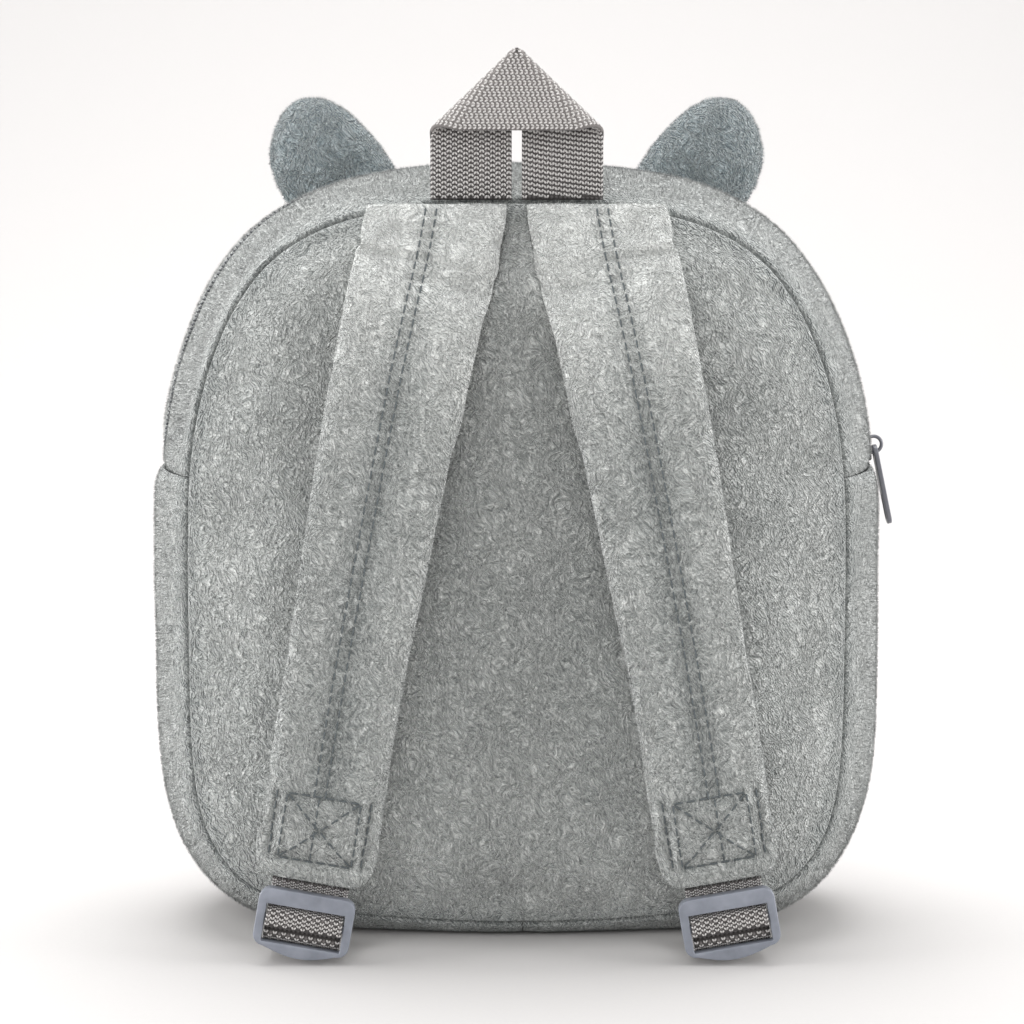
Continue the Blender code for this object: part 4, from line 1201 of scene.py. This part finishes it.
def buildStitches(node, strap, side):
    surface = BVHTree.FromPolygons([tuple(v.co) for v in strap.data.vertices],
                                   [tuple(f.vertices) for f in strap.data.polygons])
    places = []
    total = lengthsAlong(np.array([strapCentre(s)[0] for s in np.linspace(0, 1, 60)]))[-1]
    shift = strapLook["grooveShift"]
    half = strapLook["grooveHalf"]
    for line in (-1, 1):
        sewLine(surface, ((shift + line * half, strapLook["boxHigh"] - 0.001),
                          (shift + line * half, total - 0.001)), places, side)
    for ends in boxLines():
        sewLine(surface, ends, places, side)
    dash = yarnStamp("dash", 8, [(0.06, 0.7), (0.18, 1.0), (0.82, 1.0), (0.94, 0.7)])
    stitches = setStamps(f"{node}_stitches", places, dash, threadFinish)
    bpy.data.objects.remove(dash)
    dress(stitches, node, stands=False)


for label, side in (("left", -1), ("right", 1)):
    strap = buildStrap(f"shoulder_strap_{label}", side, 62000)
    buildStitches(f"shoulder_strap_{label}", strap, side)
print("straps padded and stitched")


# Webbing: a ribbon grid with chevron yarns laid on both faces

webbingLook = {"width": 0.0255, "wall": 0.0013, "columnPitch": 0.0017, "rowPitch": 0.00150,
               "yarnWidth": 0.00074, "yarnLength": 0.00122, "yarnAngle": 31.0, "fold": (0, 0)}


def pointOn(path, far, at):
    return Vector([np.interp(at, far, path[:, k]) for k in range(3)])


def ribbonPlaces(grid, look, skipEnds=0.001):
    # grid: (rows along, columns across, 3); places for two slanted yarns a stitch, half dropped
    rows, columns = grid.shape[:2]
    width = np.linalg.norm(np.diff(grid[rows // 2], axis=0), axis=1).sum()
    count = int(round(width / look["columnPitch"]))
    places = []
    tilt = math.radians(look["yarnAngle"])
    for c in range(count):
        at = (c + 0.5) / count * (columns - 1)
        low = min(int(at), columns - 2)
        path = grid[:, low] * (1 - (at - low)) + grid[:, low + 1] * (at - low)
        acrossPath = grid[:, low + 1] - grid[:, low]
        far = lengthsAlong(path)
        steps = np.arange(skipEnds, far[-1] - skipEnds, look["rowPitch"])
        steps = steps + (look["rowPitch"] / 2 if c % 2 else 0.0)
        for step in steps[steps < far[-1] - skipEnds]:
            if look["fold"][0] < np.interp(step, far, np.arange(rows)) < look["fold"][1]:
                continue  # the yarns are hidden where the webbing folds in
            here = pointOn(path, far, step)
            along = (pointOn(path, far, step + 0.0004) - pointOn(path, far, step - 0.0004)).normalized()
            across = pointOn(acrossPath, far, step)
            across = (across - along * across.dot(along)).normalized()
            for face in (-1, 1):
                normal = across.cross(along).normalized() * face
                lift = normal * (look["wall"] / 2)
                for lean in (-1, 1):
                    way = along * math.cos(tilt) + across * (lean * math.sin(tilt))
                    place = here + lift + across * (lean * -look["columnPitch"] * 0.25)
                    places.append((place, normal.cross(way), normal, way,
                                   (look["yarnWidth"], look["yarnWidth"] * 0.62, look["yarnLength"])))
    return places


def buildRibbon(node, grid, look):
    rows, columns = grid.shape[:2]
    ribbon = meshObject(f"{node}_ribbon", grid.reshape(-1, 3), gridFaces(rows, columns, False), webbingFinish)
    far = lengthsAlong(grid[:, columns // 2])
    clothMap(ribbon, columns, far, np.linspace(0, look["width"], columns))
    thicken(ribbon, look["wall"] * 0.86, 0.0)
    yarn = yarnStamp("yarn", 5, [(0.22, 0.86), (0.78, 0.86)])
    weave = setStamps(f"{node}_weave", ribbonPlaces(grid, look), yarn, yarnFinish)
    bpy.data.objects.remove(yarn)
    dress(ribbon, node)
    dress(weave, node, stands=False)
    return ribbon


handleLook = {"gap": 0.0032, "rise": 0.0184, "foldLift": 0.0032, "tightFold": 0.0009,
              "openFold": 0.0037, "seat": 0.0004}


def handleGrid(columns=13):
    width = webbingLook["width"]
    outer = -(handleLook["gap"] / 2 + width)
    share = np.linspace(0, 1, columns)
    rows = []
    for lift in np.linspace(0, 1, 12)[:-1]:
        rows.append(np.stack([outer + share * width, np.zeros(columns),
                              (handleLook["rise"] + share * width) * lift], -1))
    radius = handleLook["openFold"] + (handleLook["tightFold"] - handleLook["openFold"]) * share
    for turn in np.linspace(0, math.pi, 22):
        done = turn / math.pi
        swing = inHalf * radius * math.sin(turn)
        x = outer + share * width + radius * math.pi * inHalf * done - swing
        z = handleLook["rise"] + share * width + handleLook["foldLift"] * done + swing
        rows.append(np.stack([x, -radius * (1 - math.cos(turn)), z], -1))
    last = rows[-1]
    for lift in np.linspace(0, 1, 10)[1:]:
        rows.append(np.stack([last[:, 0] * (1 - lift), last[:, 1], last[:, 2]], -1))
    rows += [row * np.array([-1, 1, 1]) for row in rows[-2::-1]]
    grid = np.array(rows)
    return grid + np.array([0, -halfDepth - handleLook["seat"],
                            bagSize["lift"] + bagSize["height"] + bagSize["gap"]])


# the outer face of the fold is paler, as the photo shows it where it catches the light
foldHeight = bagSize["lift"] + bagSize["height"] + handleLook["rise"]
handle = buildRibbon("carry_handle", handleGrid(), webbingLook)
for thing, paintedLight in ((handle, litFoldWebbingFinish), (bpy.data.objects["carry_handle_weave"], litFoldYarnFinish)):
    thing.data.materials.append(paintedLight)
    for face in thing.data.polygons:
        if face.center.y < -halfDepth - 0.0019 and face.center.z > foldHeight:
            face.material_index = 1
print("handle folded")


# Ladder sliders and the webbing through them

ladderLook = {"webbing": 0.0240, "play": 0.0004, "height": 0.0185, "lip": 0.0025, "thickness": 0.0042,
              "side": 0.0027, "topBar": 0.0050, "lipBar": 0.0015, "upperSlot": 0.0034, "bar": 0.0026,
              "barThickness": 0.0016, "corner": 0.0036, "bareWebbing": 0.0036, "edge": 0.0007,
              "barEdge": 0.0005}


def endFrame():
    centre, across, outward, along = strapFrame(1.0)[:4]
    down = Vector((along.x, 0, along.z)).normalized()
    return centre, across, down, Vector((0, -1, 0))


def ladderLevels():
    top = ladderLook["height"] / 2
    upperHigh = top - ladderLook["topBar"]
    upperLow = upperHigh - ladderLook["upperSlot"]
    lowerHigh = upperLow - ladderLook["bar"]
    return top, upperHigh, upperLow, lowerHigh, -top + ladderLook["lipBar"]


def ladderDrop():
    return bagSize["gap"] + ladderLook["bareWebbing"] + ladderLook["height"] / 2


def ladderOutline():
    half = ladderLook["webbing"] / 2 + ladderLook["play"] + ladderLook["side"]
    top = ladderLook["height"] / 2
    corner = ladderLook["corner"]
    points = arc((half - corner, top - corner), corner, 90, 0, 8)
    points += arc((half - corner, corner - top), corner, 0, -90, 8)
    mirror = [(-a, b) for a, b in reversed(points)]
    for k in range(1, 12):
        across = (half - corner) * (1 - 2 * k / 12)
        points.append((across, -top - ladderLook["lip"] * math.sin(math.pi * k / 12)))
    return points + mirror


def rectangle(half, low, high):
    return [(-half, low), (half, low), (half, high), (-half, high)]


def buildLadder(node, side):
    end, across, down, outward = endFrame()
    centre = end + down * ladderDrop()
    centre.x *= side
    place = Matrix.Translation(centre) @ Matrix.Rotation(-math.atan2(across.z, across.x) * side, 4, "Y")
    half = ladderLook["thickness"] / 2
    plate = plateFrom(node, ladderOutline(), -half, half, place)
    upperHigh, upperLow, lowerHigh, lowerLow = ladderLevels()[1:]
    inner = ladderLook["webbing"] / 2 + ladderLook["play"]
    carve(plate, plateFrom("window", rectangle(inner, lowerLow, upperHigh), -half * 2, half * 2, place))
    bevelEdges(plate, ladderLook["edge"])
    reach = inner + ladderLook["side"] / 2
    thin = ladderLook["barThickness"] / 2
    bar = plateFrom("bar", rectangle(reach, lowerHigh, upperLow), -thin, thin, place)
    bevelEdges(bar, ladderLook["barEdge"])
    slider = joinMeshes(f"{node}_moulded", [plate, bar], acetalFinish)
    smoothByAngle(slider, 40)
    dress(slider, node)


def webbingPath():
    top, upperHigh, upperLow, lowerHigh, lowerLow = ladderLevels()
    wall = webbingLook["wall"]
    stand = bagSize["gap"] + wall / 2
    roundEdge = stand * inHalf
    back = -ladderLook["thickness"] / 2
    bar = ladderLook["barThickness"] / 2
    # (up, outward) from the slider's middle: behind the top bar, over the middle bar, out behind
    route = [
        (ladderLook["height"] / 2 + ladderLook["bareWebbing"] - bagSize["gap"], (back - stand) * 0.35),
        (top + roundEdge, back - roundEdge), (top - stand, back - stand),
        (upperHigh + stand, back - stand), (upperHigh - roundEdge, back - roundEdge),
        (upperLow + roundEdge, bar + roundEdge), ((upperLow + lowerHigh) / 2, bar + stand),
        (lowerHigh - roundEdge, bar + roundEdge), (lowerHigh - 0.0014, back * 0.80),
        (lowerHigh - 0.0030, 0.0001), (lowerLow + 0.0020, 0.0003), (lowerLow + roundEdge, back - roundEdge),
        (lowerLow - stand, back - stand)]
    end, across, down, outward = endFrame()
    centre = end + down * ladderDrop()
    points = [centre - down * up + outward * out for up, out in route]
    seamZ = float(np.interp(centre.x, seamXZ[:len(seamXZ) // 4, 0], seamXZ[:len(seamXZ) // 4, 1]))
    anchor = Vector((centre.x, -halfDepth - bagSize["seamRadius"] - wall,
                     seamZ - bagSize["seamRadius"] - wall / 2))
    floor = wall + abs(across.z) * ladderLook["webbing"] / 2
    points += [Vector((centre.x, points[-1].y * 0.55 + anchor.y * 0.45, floor)), anchor]
    return curveThrough(points, False, 5), across


def strapWebbingGrid(side, columns=13):
    path, across = webbingPath()
    return np.array([[mirrored(point + across * (ladderLook["webbing"] * t), side)
                      for t in np.linspace(-0.5, 0.5, columns)] for point in path])


# fold: the rows of the grid between which the webbing folds in and its yarns are hidden
strapWebbingLook = dict(webbingLook, width=ladderLook["webbing"], fold=(34.5, 45.0),
                        columnPitch=0.00145, rowPitch=0.0013, yarnWidth=0.00064, yarnLength=0.00106)
for label, side in (("left", -1), ("right", 1)):
    buildLadder(f"strap_slider_{label}", side)
    buildRibbon(f"strap_webbing_{label}", strapWebbingGrid(side), strapWebbingLook)
print("sliders threaded")


# Ears: small stuffed pads in the front seam

earLook = {"spread": 0.0608, "width": 0.0448, "height": 0.0402, "thickness": 0.0130,
           "baseThickness": 0.0030, "baseRise": 0.0034, "fullHeight": 0.35, "hub": (0.03, 0.42),
           "startThin": 0.93, "pressure": 3.0, "cap": 0.0020, "voxel": 0.0022, "lump": 0.0005,
           "lumpSize": 0.014}
earShares = [
    (-0.390, 0.020), (-0.470, 0.250), (-0.420, 0.420), (-0.230, 0.700), (-0.030, 0.900), (0.160, 0.985),
    (0.330, 0.945), (0.460, 0.780), (0.520, 0.540), (0.490, 0.280), (0.400, 0.040), (0.310, -0.270),
    (0.150, -0.130), (-0.120, -0.030)]


def buildEar(node, side, pileCount):
    half = len(seamPath) // 2
    baseZ = next(p.z for p in seamPath[:half] if p.z > bagSize["crossSeam"] and p.x <= earLook["spread"])
    base = Vector((earLook["spread"], halfDepth + bagSize["seamRadius"] / 2, baseZ + earLook["baseRise"]))
    rim = curveThrough([Vector((a * earLook["width"], 0, b * earLook["height"])) for a, b in earShares],
                       True, 4)
    hub = Vector((earLook["hub"][0] * earLook["width"], 0, earLook["hub"][1] * earLook["height"]))
    count = len(rim)
    shares = (0.985, 0.93, 0.85, 0.74, 0.60, 0.44, 0.26, 0.1)
    points = [(p.x, 0.0, p.z) for p in rim]
    faces = []
    for face in (-1, 1):
        lastRing = list(range(count))
        for share in shares:
            ring = []
            for p in rim:
                place = hub.lerp(p, share)
                full = min(max(place.z / earLook["height"], 0.0) / earLook["fullHeight"], 1.0)
                thick = earLook["baseThickness"] + (earLook["thickness"] - earLook["baseThickness"]) * full
                ring.append(len(points))
                rise = thick / 2 * earLook["startThin"] * (1 - share ** 3) ** 0.5
                points.append((place.x, face * rise, place.z))
            faces += [(lastRing[i], lastRing[(i + 1) % count], ring[(i + 1) % count], ring[i])
                      for i in range(count)]
            lastRing = ring
        faces.append(tuple(lastRing))
    points = [((x + base.x) * side, y + base.y, z + base.z) for x, y, z in points]
    ear = meshObject(f"{node}_stuffed", points, faces, clothFinish)
    shapeWith(ear, "REMESH", {"mode": "VOXEL", "voxel_size": earLook["voxel"]})
    shapeWith(ear, "SMOOTH", {"iterations": 3})
    here = pointsOf(ear.data)
    inflate(ear, np.nonzero(here[:, 2] < base.z + 0.004)[0], earLook["pressure"], earLook["cap"], 0.02)
    here = pointsOf(ear.data)
    sway = earLook["lump"] * softNoise(here, earLook["lumpSize"], 12 + side)
    here[:, 1] += sway * smoothStep((here[:, 2] - base.z) / 0.02)
    movePoints(ear.data, here)
    shapeWith(ear, "SUBSURF", {"levels": 1, "render_levels": 1})
    ear.data.shade_smooth()
    ear.data.materials.clear()
    ear.data.materials.append(earClothFinish)
    here = pointsOf(ear.data)
    # little pile stands at the ear's base, and the same share darkens the cloth there: painted shade
    growPile(ear, node, smoothStep((here[:, 2] - base.z + 0.001) / 0.003), pileCount, earFuzzFinish)
    dress(ear, node)


buildEar("ear_left", -1, 17000)
buildEar("ear_right", 1, 17000)
bpy.data.objects.remove(blade)
print("ears stuffed")


# Studio: pale sweep, soft light, and the camera where the photograph was taken

studio = {"floor": "#B6B4B3", "farFloor": "#D6D4D3", "sky": "#FFFFFF", "skyStrength": 0.76,
          "topPower": 21.2, "frontPower": 9.9, "sidePower": 15.0,
          "cameraPlace": (-0.0015, -0.945, 0.235), "cameraAim": (-0.0015, -0.042, 0.1390),
          "cameraFilm": 36.0, "viewWidth": 0.3245}


def buildSweep():
    profile = [(-2.5, 0.0), (0.9, 0.0)]
    profile += [(0.9 + 0.8 * math.sin(a), 0.8 - 0.8 * math.cos(a)) for a in np.linspace(0.1, math.pi / 2, 14)]
    profile += [(1.7, 3.2)]
    across = np.linspace(-3, 3, 5)
    points = [(x, y, z - 0.0002) for y, z in profile for x in across]
    sweep = meshObject("studio_sweep", points, gridFaces(len(profile), 5, False), None)
    faceAway(sweep, Vector((0, 0, -3)))
    # matt paper: faint fibres, and a little paler towards the back: painted light on the far sweep
    material, tree, shader = newMaterial("matt white paper", {"Roughness": 0.9, "Specular IOR Level": 0.1})
    coords = addNode(tree, "ShaderNodeTexCoord").outputs["Object"]
    fibre = addNode(tree, "ShaderNodeTexNoise", {"Scale": 900.0, "Detail": 2.0}, {"Vector": coords})
    split = addNode(tree, "ShaderNodeSeparateXYZ", None, {0: coords})
    paintedLight = addNode(tree, "ShaderNodeMapRange", {1: -0.25, 2: 0.9, 3: 0.0, 4: 0.9},
                    {0: split.outputs["Y"]})
    shade = addNode(tree, "ShaderNodeMath", {"operation": "MULTIPLY_ADD", 1: 0.1},
                    {0: fibre.outputs["Fac"], 2: paintedLight.outputs[0]})
    tree.links.new(rampBetween(tree, shade.outputs[0], [(0.0, studio["floor"]), (1.0, studio["farFloor"])]),
                   shader.inputs["Base Color"])
    sweep.data.materials.append(material)


def addLight(name, power, size, place, target):
    data = bpy.data.lights.new(name, "AREA")
    data.energy = power
    data.shape = "DISK"
    data.size = size
    lamp = bpy.data.objects.new(name, data)
    scene.collection.objects.link(lamp)
    lamp.location = place
    lamp.rotation_euler = (Vector(target) - Vector(place)).to_track_quat("-Z", "Y").to_euler()


buildSweep()
addLight("top softbox", studio["topPower"], 1.2, (-0.05, 0.28, 1.25), (0, 0, 0.10))
addLight("front softbox", studio["frontPower"], 1.2, (-0.30, -1.9, 1.2), (0, 0, 0.12))
addLight("left softbox", studio["sidePower"], 0.8, (-1.15, -0.22, 0.27), (0, -0.03, 0.12))
addLight("right softbox", studio["sidePower"], 0.8, (1.15, -0.22, 0.27), (0, -0.03, 0.12))
world = bpy.data.worlds.new("studio light")
scene.world = world
world.use_nodes = True
sky = world.node_tree.nodes["Background"].inputs
sky["Color"].default_value = toLinear(studio["sky"])
sky["Strength"].default_value = studio["skyStrength"]
scene.view_settings.view_transform = "Standard"

cameraData = bpy.data.cameras.new("camera")
camera = bpy.data.objects.new("camera", cameraData)
scene.collection.objects.link(camera)
camera.location = studio["cameraPlace"]
sight = Vector(studio["cameraAim"]) - camera.location
camera.rotation_euler = sight.to_track_quat("-Z", "Y").to_euler()
cameraData.sensor_width = studio["cameraFilm"]
cameraData.lens = studio["cameraFilm"] * sight.length / studio["viewWidth"]
scene.camera = camera
print("studio set")
